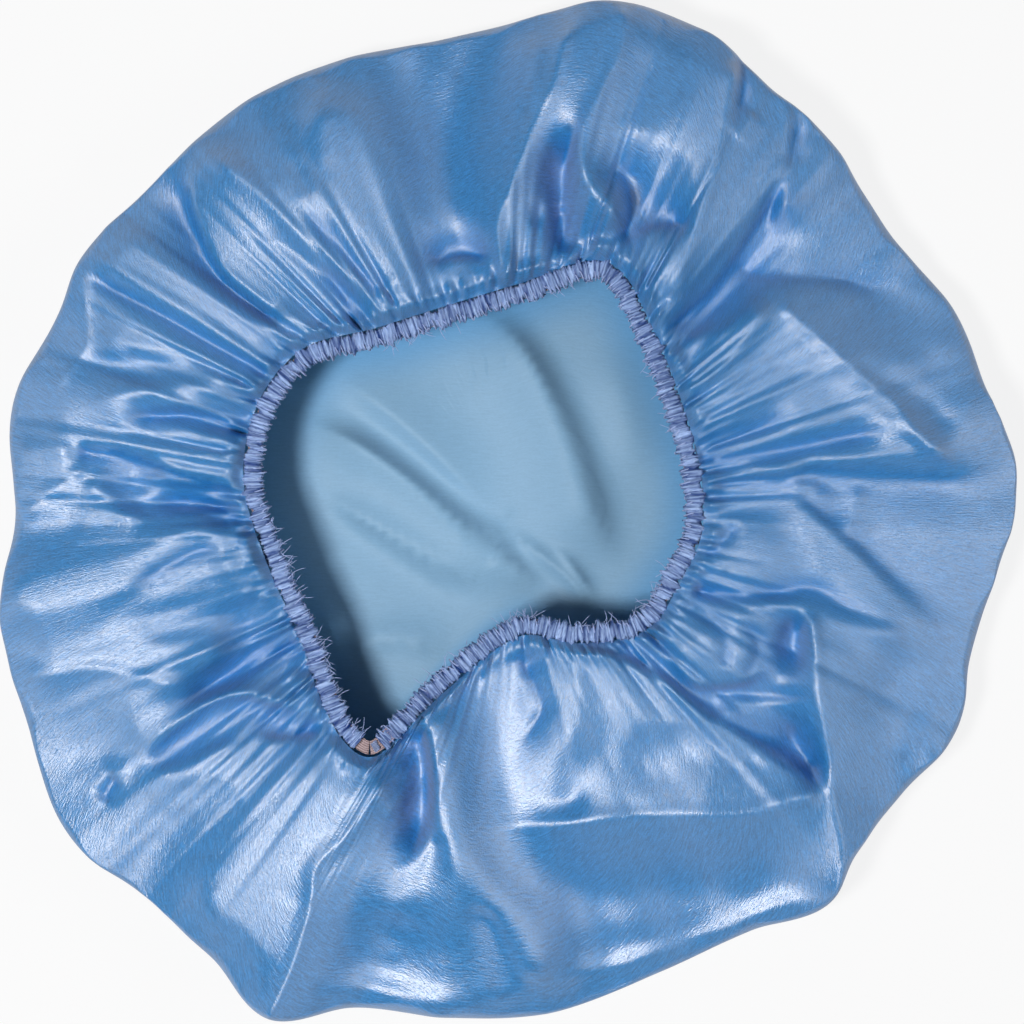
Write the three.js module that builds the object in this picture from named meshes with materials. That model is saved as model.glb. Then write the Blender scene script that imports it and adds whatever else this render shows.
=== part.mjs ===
// Satin hair bonnet: one round piece of satin gathered into an elastic band.
// It lies on its crown with the opening up, the way it is laid out on a table.
// Millimetres, +Z up. The origin is on the table under the middle of the cap.

import * as THREE from 'three';

// The satin cap as it lies
const CAP_RADIUS = 165.5; // mean radius of the rim, the widest line of the cap
const RIM_ROLL = 12; // how far the rim stands out past the flat crown
const RIM_HEIGHT = 8; // the rim above the table
const SHOULDER_INSET = 4; // from the rim in to the shoulder, where the skirt starts
const SHOULDER_HEIGHT = 23; // the shoulder above the table, between its folds
const SKIRT_SWELL = 9; // the slack skirt stands this far above a straight line from shoulder to band
const FOLD_HEIGHT = 9.5; // a main fold above the skirt around it
const CLOTH_WALL = 0.6; // the cloth with its small creases

// The opening and its elastic band
const OPENING_RADIUS = 68; // mean radius of the line along the middle of the band
const BAND_HEIGHT = 34; // the middle of the band above the table
const ELASTIC_WIDTH = 6.4;
const ELASTIC_THICKNESS = 1;
const ELASTIC_SIDE_ROOM = 0.6; // free room in the casing at each edge of the elastic
const CASING_WALL = 0.9; // turned and gathered hem
const CASING_ROUND = 1.5; // corner of the casing's section
const BORE_ROUND = 0.5; // corner of the channel inside the casing
const GATHER_DEPTH = 0.5; // the gathers stand this far out of the casing
const GATHER_PITCH = 3.9; // from one gather to the next along the band
const SEGMENTS = 20; // lengths of band that spread apart as the elastic stretches
const SEGMENT_GAP = 0.4; // between neighbouring lengths at rest
const FIT_GAP = 0.3; // between pieces that lie against each other

// The join of the elastic's ends
const JOIN_OPENING = 8; // bare length where the casing was left open
const LAP_LENGTH = 10; // one end of the elastic lies over the other
const TACK_INSET = 0.7; // from the edge of the elastic to the stitches
const TACK_SWING = 1; // zigzag stitches, from the middle to a turn
const TACK_THREAD = 0.5;
const TACK_ZIGZAGS = 5;

// Fineness of the surfaces
const COLUMNS = 72; // round the cap
const BORE_STEPS = 6; // along one length of band

// Rim seen from above: degrees round the middle, and the share of CAP_RADIUS there
const RIM_SHAPE = [
  [0, 0.985], [6, 0.99], [13, 0.965], [24, 0.96], [36, 0.925], [48, 0.955], [60, 0.975], [66, 1.01],
  [78, 1.02], [90, 0.965], [99, 0.94], [112, 0.955], [140, 0.96], [150, 0.98], [157, 0.975], [168, 1.005],
  [180, 0.975], [192, 1.025], [204, 1.045], [216, 1.08], [228, 1.045], [236, 1.06], [244.5, 1.1],
  [252, 1.03], [264, 1.005], [276, 0.99], [288, 0.955], [300, 0.95], [309, 0.985], [316, 0.95],
  [325, 0.95], [334.5, 0.975], [343, 0.95], [352, 0.96],
];

// Opening seen from above, from the join of the elastic: degrees, and the share of OPENING_RADIUS
const OPENING_SHAPE = [
  [238.9, 1.295], [241.5, 1.163], [247, 0.882], [274, 0.541], [299.5, 0.659], [320, 0.8], [338, 0.813],
  [354, 0.855], [373.4, 0.865], [395.7, 0.918], [415, 1.063], [429, 1.213], [448, 1.028],
  [467.7, 0.974], [487.5, 1.036], [503, 1.208], [517, 1.255], [533, 1.228], [551.7, 1.132],
  [570.3, 1.118], [585.7, 1.222], [593, 1.287],
];

// Main folds of the skirt: degrees at the rim, degrees at the band, share of FOLD_HEIGHT, half width in degrees
const MAIN_FOLDS = [
  [8, 36, 0.7, 12], [44, 50, -0.9, 6], [57, 55, 1.3, 9], [72, 63, 0.6, 8], [80, 90, 0.7, 6],
  [98, 102, -0.9, 8], [118, 117, 0.8, 9], [132, 128, 0.8, 8], [137, 138, 0.5, 5], [144, 145, -1.2, 6],
  [157, 156, 0.3, 5], [162, 163, -0.4, 4], [169, 168, 0.4, 5], [189, 189, 0.8, 11], [206, 206, -0.4, 9],
  [238, 236, 0.8, 12], [262, 254, 0.6, 7], [281, 264, -1.1, 10], [308, 314, 0.6, 8], [318, 319, -0.4, 4],
  [330, 324, 0.7, 6], [341, 362, 0.7, 7], [349, 375, -0.7, 6],
];

// Rows of the cap from the flat crown over the rim to the band.
// "turn" is the angle round the rolled edge, "skirt" the share of the way from the shoulder to the
// band, and "fold" the share of each fold's height that shows in that row.
const CAP_ROWS = [
  { turn: 0, fold: 0 }, { turn: 45, fold: 0 }, { turn: 90, fold: 0.05 }, { turn: 135, fold: 0.35 },
  { skirt: 0, fold: 0.6 }, { skirt: 0.35, fold: 1 }, { skirt: 0.7, fold: 0.9 }, { skirt: 1, fold: 0 },
];

// Sizes that follow from the ones above
const boreHalfWidth = ELASTIC_WIDTH / 2 + ELASTIC_SIDE_ROOM;
const boreHeight = 2 * ELASTIC_THICKNESS + 3 * FIT_GAP;
const casingHalfWidth = boreHalfWidth + CASING_WALL;
const casingHalfHeight = boreHeight / 2 + CASING_WALL;
const hemOffset = casingHalfWidth + GATHER_DEPTH + FIT_GAP;
const elasticBottom = BAND_HEIGHT - boreHeight / 2 + FIT_GAP;
const lapBottom = elasticBottom + ELASTIC_THICKNESS + FIT_GAP;
const tackBottom = lapBottom + ELASTIC_THICKNESS + FIT_GAP;

const satin = new THREE.MeshStandardMaterial({ color: 0x5f9bdc, roughness: 0.34, metalness: 0 });
const hem = new THREE.MeshStandardMaterial({ color: 0x8fa3dc, roughness: 0.7, metalness: 0 });
const rubber = new THREE.MeshStandardMaterial({ color: 0xd8cfd6, roughness: 0.85, metalness: 0 });
const thread = new THREE.MeshStandardMaterial({ color: 0xa39ac4, roughness: 0.8, metalness: 0 });

// The rim's share of CAP_RADIUS at any angle: a smooth closed curve through RIM_SHAPE.
function rimShare(degrees) {
  const count = RIM_SHAPE.length;
  const at = (k) => {
    const turns = Math.floor(k / count);
    const [angle, share] = RIM_SHAPE[k - turns * count];
    return [angle + 360 * turns, share];
  };
  const wanted = THREE.MathUtils.euclideanModulo(degrees - RIM_SHAPE[0][0], 360) + RIM_SHAPE[0][0];
  let k = 0;
  while (at(k + 1)[0] <= wanted) k += 1;
  const [[a0, r0], [a1, r1], [a2, r2], [a3, r3]] = [at(k - 1), at(k), at(k + 1), at(k + 2)];
  const span = a2 - a1;
  const leave = ((r2 - r0) / (a2 - a0)) * span;
  const reach = ((r3 - r1) / (a3 - a1)) * span;
  const t = (wanted - a1) / span;
  const curve = 2 * r1 - 2 * r2 + leave + reach;
  const bend = 3 * r2 - 3 * r1 - 2 * leave - reach;
  return ((curve * t + bend) * t + leave) * t + r1;
}

// The line along the middle of the band, as a closed curve measured by its length.
function openingLine() {
  const points = OPENING_SHAPE.map(([degrees, share]) => {
    const angle = THREE.MathUtils.degToRad(degrees);
    const reach = OPENING_RADIUS * share;
    return new THREE.Vector3(reach * Math.cos(angle), reach * Math.sin(angle), BAND_HEIGHT);
  });
  const line = new THREE.CatmullRomCurve3(points, true, 'centripetal');
  line.arcLengthDivisions = 60 * points.length;
  return line;
}

const opening = openingLine();
const bandLength = opening.getLength();
const segmentLength = bandLength / SEGMENTS;
const columnStep = bandLength / COLUMNS;

// Place on the band at a length from the join, with the directions along and out of the band.
function bandFrame(length) {
  const share = THREE.MathUtils.euclideanModulo(length / bandLength, 1);
  const along = opening.getTangentAt(share);
  const out = new THREE.Vector3(along.y, -along.x, 0);
  return { point: opening.getPointAt(share), along, out };
}

// A section's [across, up] points stood square to the band, "up" measured from the table.
function bandRing(length, section) {
  const { point, out } = bandFrame(length);
  return section.map(([across, up]) => point.clone().setZ(up).addScaledVector(out, across));
}

// A rectangle with cut corners round the middle of the band, as [across, up] points.
function roundedSection(halfWidth, halfHeight, round) {
  const corner = Math.min(round, halfHeight * 0.9, halfWidth * 0.9);
  const corners = [[1, -1], [1, 1], [-1, 1], [-1, -1]];
  return corners.flatMap(([side, level]) => {
    const upright = [side * halfWidth, BAND_HEIGHT + level * (halfHeight - corner)];
    const flat = [side * (halfWidth - corner), BAND_HEIGHT + level * halfHeight];
    return side === level ? [upright, flat] : [flat, upright];
  });
}

// A mesh with its triangles facing out of the solid.
function solidMesh(name, vertices, triangles, material) {
  const [a, b, c] = [new THREE.Vector3(), new THREE.Vector3(), new THREE.Vector3()];
  const volume = triangles.reduce((sum, [i, j, k]) => {
    a.copy(vertices[i]);
    b.copy(vertices[j]);
    c.copy(vertices[k]);
    return sum + a.dot(b.cross(c));
  }, 0);
  const facing = volume > 0 ? triangles : triangles.map(([i, j, k]) => [i, k, j]);
  const geometry = new THREE.BufferGeometry().setFromPoints(vertices);
  geometry.setIndex(facing.flat());
  geometry.computeVertexNormals();
  const mesh = new THREE.Mesh(geometry, material);
  mesh.name = name;
  return mesh;
}

// Triangles between two rings of vertices of the same length, given each ring's first vertex.
function strip(first, second, count) {
  const triangles = [];
  for (let k = 0; k < count; k += 1) {
    const next = (k + 1) % count;
    triangles.push([first + k, first + next, second + k]);
    triangles.push([first + next, second + next, second + k]);
  }
  return triangles;
}

// Triangles over the side of a stack of rings, from the vertex the stack starts at.
function side(start, rings) {
  const count = rings[0].length;
  return rings.slice(1).flatMap((_, k) => strip(start + k * count, start + (k + 1) * count, count));
}

// Lengths along the band from start to end in equal steps.
function stations(start, end, steps) {
  return Array.from({ length: steps + 1 }, (_, k) => start + ((end - start) * k) / steps);
}

// How far the main folds lift the skirt at an angle, "share" of the way from the rim to the band.
function foldLift(degrees, share) {
  return MAIN_FOLDS.reduce((lift, [atRim, atBand, height, halfWidth]) => {
    const middle = THREE.MathUtils.lerp(atRim, atBand, share);
    const away = THREE.MathUtils.euclideanModulo(degrees - middle + 180, 360) - 180;
    const reach = Math.min(Math.abs(away) / halfWidth, 1);
    return lift + FOLD_HEIGHT * height * 0.5 * (1 + Math.cos(Math.PI * reach));
  }, 0);
}

// Where the cap's edge meets the band. Round a bend the straight edge between two columns cuts the
// corner, so the edge moves out until its straights touch the curve that it follows.
function hemPoint(length) {
  const { point, out } = bandFrame(length);
  const before = bandFrame(length - columnStep / 2).out;
  const after = bandFrame(length + columnStep / 2).out;
  const bend = Math.asin(before.x * after.y - before.y * after.x);
  const reach = bend > 0 ? (columnStep / bend + hemOffset) * (1 / Math.cos(bend / 2) - 1) : 0;
  return point.addScaledVector(out, hemOffset + reach);
}

// One point of the cap's middle surface, in the column that starts at a length along the band.
function capPoint(length, row) {
  const { point } = bandFrame(length);
  const atBand = hemPoint(length);
  const angle = Math.atan2(point.y, point.x);
  const degrees = THREE.MathUtils.radToDeg(angle);
  const rim = CAP_RADIUS * rimShare(degrees);
  const outward = new THREE.Vector3(Math.cos(angle), Math.sin(angle), 0);
  const lift = row.fold * foldLift(degrees, row.skirt ?? 0);
  if (row.turn !== undefined) {
    const turn = THREE.MathUtils.degToRad(row.turn);
    const below = row.turn <= 90;
    const inset = below ? RIM_ROLL : SHOULDER_INSET;
    const rise = below ? RIM_HEIGHT - CLOTH_WALL / 2 : SHOULDER_HEIGHT - RIM_HEIGHT;
    const reach = rim - inset * (1 - Math.sin(turn));
    return outward.multiplyScalar(reach).setZ(RIM_HEIGHT - rise * Math.cos(turn) + lift);
  }
  const shoulder = outward.multiplyScalar(rim - SHOULDER_INSET).setZ(SHOULDER_HEIGHT);
  const place = shoulder.lerp(atBand, row.skirt);
  return place.setZ(place.z + SKIRT_SWELL * Math.sin(Math.PI * row.skirt) + lift);
}

// The satin cap: a bag of one cloth, flat under the crown, with its edge along the band.
function satinCap() {
  const lengths = Array.from({ length: COLUMNS }, (_, k) => k * columnStep);
  const rows = CAP_ROWS.map((row) => lengths.map((length) => capPoint(length, row)));
  const last = rows.length - 1;
  const faceOut = (r, k) => {
    if (r === 0) return new THREE.Vector3(0, 0, -1);
    const around = rows[r][(k + 1) % COLUMNS].clone().sub(rows[r][(k + COLUMNS - 1) % COLUMNS]);
    const up = rows[Math.min(r + 1, last)][k].clone().sub(rows[r - 1][k]);
    return around.cross(up).normalize();
  };
  const wall = (offset) => rows.map((row, r) => row.map((p, k) => p.clone().addScaledVector(faceOut(r, k), offset)));
  const outer = wall(CLOTH_WALL / 2);
  const inner = wall(-CLOTH_WALL / 2);
  const vertices = [...outer.flat(), ...inner.flat()];
  const innerStart = rows.length * COLUMNS;
  const outerPole = vertices.push(new THREE.Vector3(0, 0, 0)) - 1;
  const innerPole = vertices.push(new THREE.Vector3(0, 0, CLOTH_WALL)) - 1;
  const flip = ([a, b, c]) => [a, c, b];
  const triangles = [...side(0, outer), ...side(innerStart, inner).map(flip)];
  triangles.push(...strip(last * COLUMNS, innerStart + last * COLUMNS, COLUMNS));
  for (let k = 0; k < COLUMNS; k += 1) {
    const next = (k + 1) % COLUMNS;
    triangles.push([outerPole, next, k], [innerPole, innerStart + k, innerStart + next]);
  }
  return solidMesh('satin_cap', vertices, triangles, satin);
}

// One length of the hem casing: a gathered tube with a channel for the elastic.
function hemCasing(name, start, end) {
  const gathers = Math.max(2, Math.round((end - start) / GATHER_PITCH));
  const outer = stations(start, end, 2 * gathers).map((length, k) => {
    const proud = (k % 2) * GATHER_DEPTH;
    return bandRing(length, roundedSection(casingHalfWidth + proud, casingHalfHeight + proud, CASING_ROUND));
  });
  const boreSection = roundedSection(boreHalfWidth, boreHeight / 2, BORE_ROUND);
  const bore = stations(start, end, BORE_STEPS).map((length) => bandRing(length, boreSection));
  const count = boreSection.length;
  const boreStart = outer.length * count;
  const flip = ([a, b, c]) => [a, c, b];
  const triangles = [
    ...side(0, outer),
    ...side(boreStart, bore).map(flip),
    ...strip(boreStart, 0, count),
    ...strip((outer.length - 1) * count, boreStart + (bore.length - 1) * count, count),
  ];
  return solidMesh(name, [...outer.flat(), ...bore.flat()], triangles, hem);
}

// A flat ribbon of elastic along the band, lying at a height above the table.
function ribbon(name, start, end, bottom) {
  const half = ELASTIC_WIDTH / 2;
  const top = bottom + ELASTIC_THICKNESS;
  const section = [[half, bottom], [half, top], [-half, top], [-half, bottom]];
  const rings = stations(start, end, BORE_STEPS).map((length) => bandRing(length, section));
  const back = (rings.length - 1) * section.length;
  const ends = [[0, 2, 1], [0, 3, 2], [back, back + 1, back + 2], [back, back + 2, back + 3]];
  return solidMesh(name, rings.flat(), [...side(0, rings), ...ends], rubber);
}

// Zigzag stitches that hold the overlapped ends together, across the bare elastic.
function barTack() {
  const width = ELASTIC_WIDTH - 2 * TACK_INSET;
  const turns = Array.from({ length: TACK_ZIGZAGS + 1 }, (_, k) => {
    const across = (k / TACK_ZIGZAGS - 0.5) * width;
    return new THREE.Vector2(across, k % 2 === 0 ? -TACK_SWING : TACK_SWING);
  });
  const shift = new THREE.Vector2(0, TACK_THREAD);
  const upper = turns.map((turn) => turn.clone().add(shift)).reverse();
  const shape = new THREE.Shape([...turns, ...upper]);
  const geometry = new THREE.ExtrudeGeometry(shape, { depth: TACK_THREAD, bevelEnabled: false });
  const { point, along, out } = bandFrame(JOIN_OPENING / 4);
  const mesh = new THREE.Mesh(geometry, thread);
  mesh.name = 'bar_tack';
  mesh.rotation.setFromRotationMatrix(new THREE.Matrix4().makeBasis(out, along, new THREE.Vector3(0, 0, 1)));
  mesh.position.copy(point).setZ(tackBottom);
  return mesh;
}

// The band: lengths of casing and elastic from the join round to the join again.
function bandPieces() {
  const pieces = [];
  for (let k = 0; k < SEGMENTS; k += 1) {
    const number = String(k + 1).padStart(2, '0');
    const start = k * segmentLength + SEGMENT_GAP / 2;
    const end = (k + 1) * segmentLength - SEGMENT_GAP / 2;
    const casingStart = Math.max(start, JOIN_OPENING / 2);
    const casingEnd = Math.min(end, bandLength - JOIN_OPENING / 2);
    pieces.push(hemCasing(`hem_casing_${number}`, casingStart, casingEnd));
    pieces.push(ribbon(`elastic_${number}`, start, end, elasticBottom));
  }
  pieces.push(ribbon('elastic_lap', SEGMENT_GAP / 2, LAP_LENGTH, lapBottom));
  pieces.push(barTack());
  return pieces;
}

const bonnet = new THREE.Group();
bonnet.name = 'satin_hair_bonnet';
bonnet.add(satinCap(), ...bandPieces());

// The origin goes on the table under the middle of the cap
const box = new THREE.Box3().setFromObject(bonnet, true);
const middle = box.getCenter(new THREE.Vector3());
bonnet.position.set(-middle.x, -middle.y, -box.min.z);

export default bonnet;
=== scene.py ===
"""Satin hair bonnet that lies on its crown: gathered satin, ribbed hem casing, overlock thread, elastic.

Sizes are in millimetres until a mesh is made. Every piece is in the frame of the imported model.
"""

import logging
import math
from dataclasses import dataclass, field, replace
from enum import Enum

import bpy
import numpy as np
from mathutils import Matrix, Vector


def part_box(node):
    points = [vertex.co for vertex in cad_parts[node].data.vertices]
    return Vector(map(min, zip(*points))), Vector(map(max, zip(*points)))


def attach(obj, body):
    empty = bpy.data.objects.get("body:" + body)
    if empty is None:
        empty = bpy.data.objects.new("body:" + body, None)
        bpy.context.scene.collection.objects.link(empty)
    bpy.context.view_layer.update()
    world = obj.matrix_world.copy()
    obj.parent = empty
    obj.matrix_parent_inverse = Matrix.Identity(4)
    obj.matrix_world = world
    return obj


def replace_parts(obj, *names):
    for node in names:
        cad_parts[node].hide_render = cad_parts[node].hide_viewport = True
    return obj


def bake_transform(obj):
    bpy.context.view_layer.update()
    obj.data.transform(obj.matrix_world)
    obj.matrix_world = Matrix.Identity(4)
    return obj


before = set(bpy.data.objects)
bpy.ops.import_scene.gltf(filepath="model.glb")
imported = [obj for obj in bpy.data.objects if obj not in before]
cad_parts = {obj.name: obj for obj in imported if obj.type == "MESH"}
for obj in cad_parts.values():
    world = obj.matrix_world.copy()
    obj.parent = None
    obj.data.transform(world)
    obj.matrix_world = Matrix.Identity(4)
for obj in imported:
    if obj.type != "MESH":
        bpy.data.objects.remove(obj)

LOG = logging.getLogger("bonnet")
MM = 0.001
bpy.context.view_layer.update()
SEGMENTS = 20

# The mesh attribute of painted light and shade, and the UV map, that the finishes read
SHADE_ATTRIBUTE = "rib"
CLOTH = "cloth"

# A fold that reaches further than BROAD_REACH shapes the panels beside it
BROAD_REACH = 4.5
# A broad ridge with an edge up to CRISP_EDGE has a crisp line along its top
CRISP_EDGE = 1.4
CREST_SHARE = 0.32
CREST_REACH = 1.6
CREST_EDGE = 0.5
# A narrow fold's edge where it is a crease, how many reaches its sides run and how they fall
CREASE_EDGE = 0.4
SIDE_SPAN = 3.0
SIDE_POWER = 2.5
# Width of the line that a broad fold holds, how many edges away it is felt, and its fading in powers of ten
HELD_WIDTH = 0.9
HELD_SPAN = 6.0
HELD_DECADES = 4.0
# How many edges a lap's two lines lie from its middle, and the heights of its hands as shares
LAP_DROP = 0.45
LAP_RISE = 0.5
LAP_LIFT = 0.1
LAP_FLOOR = 0.12
# Depth at which a crease gets the full painted shade, and how many reaches away the painted shade is felt
DARK_DEPTH = 5.0
DARK_SPAN = 2.0
# Shortest fade of a fold's end as a share of its length, and places worked out between its corners
SHORTEST_FADE = 0.01
LINE_STEPS = 6
# Noises of the satin's weave: how fine each is, and its scale along the threads
WEAVE_NOISES = ((2600.0, 0.35), (1500.0, 0.12))

Array = np.ndarray
Material = bpy.types.Material
Piece = bpy.types.Object
Socket = bpy.types.NodeSocket
Side = tuple[float, float]
Pixels = tuple[Side, ...]
Colour = tuple[float, float, float, float]
# Vertices and faces of a mesh
Shape = tuple[Array, Array]


class Slot(Enum):
    """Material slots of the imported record."""

    SATIN = "satin"
    HEM = "hem"
    ELASTIC = "elastic"
    THREAD = "thread"


def smooth_step(low: float, high: float, value: Array) -> Array:
    """Rises from 0 at low to 1 at high as 3t² − 2t³.

    Args:
        low: where the rise starts.
        high: where it ends.
        value: where it is wanted.

    Returns:
        The rise at each value.
    """
    t = np.clip((value - low) / (high - low), 0.0, 1.0)
    return t * t * (3.0 - 2.0 * t)


def turn_from(middle: float, degrees: Array) -> Array:
    """Turn from a middle to each angle, from −180 to 180 degrees."""
    return np.mod(degrees - middle + 180.0, 360.0) - 180.0


def smooth_line(points: Array, steps: int, closed: bool) -> Array:
    """A curve through points: the centripetal spline, with knots apart by the root of each distance.

    Args:
        points: corners as an (n, 2) array.
        steps: places worked out between two corners.
        closed: whether the last corner joins the first.

    Returns:
        The places along the curve as an (m, 2) array. A closed curve doesn't repeat its first place.
    """
    if closed:
        p0, p1, p2, p3 = (np.roll(points, shift, axis=0) for shift in (1, 0, -1, -2))
    else:
        ends = np.vstack([2 * points[0] - points[1], points, 2 * points[-1] - points[-2]])
        p0, p1, p2, p3 = ends[:-3], ends[1:-2], ends[2:-1], ends[3:]
    pairs = (p0, p1), (p1, p2), (p2, p3)
    knot = [np.sqrt(np.linalg.norm(b - a, axis=1))[:, None, None] for a, b in pairs]
    t1, t2, t3 = knot[0], knot[0] + knot[1], knot[0] + knot[1] + knot[2]
    t = t1 + knot[1] * (np.arange(steps) / steps)[None, :, None]
    p0, p1, p2, p3 = (p[:, None, :] for p in (p0, p1, p2, p3))
    a1 = ((t1 - t) * p0 + t * p1) / t1
    a2 = ((t2 - t) * p1 + (t - t1) * p2) / knot[1]
    a3 = ((t3 - t) * p2 + (t - t2) * p3) / knot[2]
    b1 = ((t2 - t) * a1 + t * a2) / t2
    b2 = ((t3 - t) * a2 + (t - t1) * a3) / (t3 - t1)
    line = (((t2 - t) * b1 + (t - t1) * b2) / knot[1]).reshape(-1, 2)
    return line if closed else np.vstack([line, points[-1]])


def wander(place: Array, seed: int, waves: int, slowest: int) -> Array:
    """A smooth closed wander about 0: sines with whole counts per turn, added and divided by root waves.

    Args:
        place: share of a turn.
        seed: picks the sines' starts.
        waves: how many sines are added.
        slowest: count per turn of the first sine; each next one has about 1.6 times as many.

    Returns:
        The wander at each place.
    """
    starts = np.random.default_rng(seed).uniform(0.0, 2.0 * math.pi, waves)
    counts = np.round(slowest * 1.6 ** np.arange(waves))
    parts = np.sin(2.0 * math.pi * np.multiply.outer(place, counts) + starts)
    return parts.sum(axis=-1) / math.sqrt(waves)


@dataclass(frozen=True)
class PhotoScale:
    """Puts a pixel of the photograph on the bonnet."""

    millimetres_per_pixel: float = 0.325
    middle: tuple[float, float] = (512.0, 512.0)
    shift: tuple[float, float] = (0.0, 0.0)

    def place(self, pixels: Pixels) -> Array:
        """Places in millimetres of pixels counted right and down."""
        away = (np.array(pixels, float) - self.middle) * self.millimetres_per_pixel
        return away * (1.0, -1.0) + self.shift


@dataclass(frozen=True)
class Fold:
    """One fold along a line of photograph pixels.

    A side is its height at the line and how far it reaches, for the left and the right hand of
    someone who walks along the line. Equal heights make a ridge or a valley, and unequal ones a lap.
    """

    name: str
    path: Pixels
    left: Side
    right: Side
    edge: float = CRISP_EDGE
    fade: Side = (0.25, 0.2)

    @property
    def crested(self) -> bool:
        """Whether the fold is a broad ridge with a crisp line along its top."""
        return self.broad and min(self.left[0], self.right[0]) > 0.0 and self.edge <= CRISP_EDGE

    def crest(self) -> "Fold":
        """The crisp line along the top of a broad ridge."""
        side = (CREST_SHARE * self.left[0], CREST_REACH)
        return replace(self, left=side, right=side, edge=CREST_EDGE)

    @property
    def broad(self) -> bool:
        """Whether the fold shapes the panels beside it, and isn't just a line on one of them."""
        return max(self.left[1], self.right[1]) > BROAD_REACH

    def nearest(self, place: Array, scale: PhotoScale, margin: float) -> tuple[Array, Array, Array]:
        """How places lie beside the fold's line.

        Args:
            place: places in millimetres as an (n, 2) array.
            scale: puts the fold's pixels in place.
            margin: how far from the line it is wanted.

        Returns:
            Which places are near enough, then for those the distance, which is positive on the left, and
            how much of the fold is there: 1, less towards its ends as smooth_step over its fades.
        """
        line = smooth_line(scale.place(self.path), LINE_STEPS, False)
        start, run = line[:-1], np.diff(line, axis=0)
        length = np.linalg.norm(run, axis=1)
        before = np.concatenate([[0.0], np.cumsum(length)])
        low, high = line.min(axis=0) - margin, line.max(axis=0) + margin
        inside = ((place > low) & (place < high)).all(axis=1)
        near = place[inside]
        away = near[:, None, :] - start
        along = np.clip((away * run).sum(axis=2) / length**2, 0.0, 1.0)
        gap = away - along[..., None] * run
        distance = np.hypot(gap[..., 0], gap[..., 1])
        pick = np.arange(len(near)), distance.argmin(axis=1)
        cross = run[pick[1], 0] * gap[pick][:, 1] - run[pick[1], 1] * gap[pick][:, 0]
        share = (before[pick[1]] + along[pick] * length[pick[1]]) / before[-1]
        first, last = (max(fade, SHORTEST_FADE) for fade in self.fade)
        ends = smooth_step(0.0, first, share) * smooth_step(0.0, last, 1.0 - share)
        return inside, distance[pick] * np.where(cross < 0.0, -1.0, 1.0), ends

    def lift(self, place: Array, scale: PhotoScale) -> Array:
        """Height of a narrow fold at each place.

        On each hand it is height · (1 − r / (SIDE_SPAN · reach)) to the power SIDE_POWER, with
        r = root(d² + edge²) − edge for the distance d from the line. Across the line one hand turns into
        the other as tanh(d / edge).

        Args:
            place: places in millimetres as an (n, 2) array.
            scale: puts the fold's pixels in place.

        Returns:
            Height in millimetres at each place.
        """
        edge = CREASE_EDGE if max(self.left[0], self.right[0]) < 0.0 else self.edge
        margin = SIDE_SPAN * max(self.left[1], self.right[1]) + 2.0 * edge
        inside, d, ends = self.nearest(place, scale, margin)
        reach = np.sqrt(d**2 + edge**2) - edge
        hand = 0.5 + 0.5 * np.tanh(d / edge)
        left, right = (
            height * np.maximum(1.0 - reach / (SIDE_SPAN * far), 0.0) ** SIDE_POWER
            for height, far in (self.left, self.right)
        )
        lift = np.zeros(len(place))
        lift[inside] = ends * (hand * left + (1.0 - hand) * right)
        return lift

    def shade(self, place: Array, scale: PhotoScale) -> Array:
        """Painted shade in the fold's sunk hands at each place, from 0 to 1.

        On a sunk hand it is depth / DARK_DEPTH, at most 1, times (1 − d / (DARK_SPAN · reach))² for the
        distance d from the line, and 0 on a raised one.

        Args:
            place: places in millimetres as an (n, 2) array.
            scale: puts the fold's pixels in place.

        Returns:
            Painted shade at each place.
        """
        inside, d, ends = self.nearest(place, scale, DARK_SPAN * max(self.left[1], self.right[1]))
        height, reach = np.where(d[:, None] > 0.0, self.left, self.right).T
        near = np.maximum(1.0 - np.abs(d) / (DARK_SPAN * reach), 0.0) ** 2
        depth = np.zeros(len(place))
        depth[inside] = ends * near * np.clip(-height / DARK_DEPTH, 0.0, 1.0)
        return depth

    def _lapped(self, height: float) -> float:
        """Height of one hand of a lap: the low hand lies nearly level and the high one stands over it."""
        low = min(self.left[0], self.right[0])
        return LAP_RISE * height - LAP_LIFT * low if height > 0.0 else LAP_FLOOR * low

    def hold(self, place: Array, scale: PhotoScale) -> tuple[Array, Array]:
        """How firmly a broad fold holds the cloth at each place, and the height that it holds it at.

        A ridge or a valley holds along its line. A lap holds along two lines, one on each hand.

        Args:
            place: places in millimetres as an (n, 2) array.
            scale: puts the fold's pixels in place.

        Returns:
            Firmness, and firmness times height.
        """
        inside, d, ends = self.nearest(place, scale, HELD_SPAN * self.edge)
        lap = self.left[0] * self.right[0] < 0.0
        lines = [(0.0, self.left[0])]
        if lap:
            aside = LAP_DROP * self.edge
            lines = [(aside, self._lapped(self.left[0])), (-aside, self._lapped(self.right[0]))]
        firm, pull = np.zeros(len(place)), np.zeros(len(place))
        for offset, height in lines:
            width = max(HELD_WIDTH, self.edge) if height > 0.0 and not lap else HELD_WIDTH
            faded = 10.0 ** (HELD_DECADES * ends - HELD_DECADES)
            grip = faded * np.exp(-(((d - offset) / width) ** 2))
            firm[inside] += grip
            pull[inside] += grip * height
        return firm, pull


@dataclass(frozen=True)
class Puff:
    """A round swelling, or with a negative height a dimple, at one pixel of the photograph."""

    name: str
    middle: tuple[float, float]
    half: Side
    height: float
    turn: float = 0.0

    def lift(self, place: Array, scale: PhotoScale) -> Array:
        """Height at each place: height · exp(−r³), with r the distance in half widths."""
        away = place - scale.place((self.middle,))[0]
        angle = math.radians(self.turn)
        along = away[:, 0] * math.cos(angle) + away[:, 1] * math.sin(angle)
        across = away[:, 1] * math.cos(angle) - away[:, 0] * math.sin(angle)
        return self.height * np.exp(-np.hypot(along / self.half[0], across / self.half[1]) ** 3)


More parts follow.
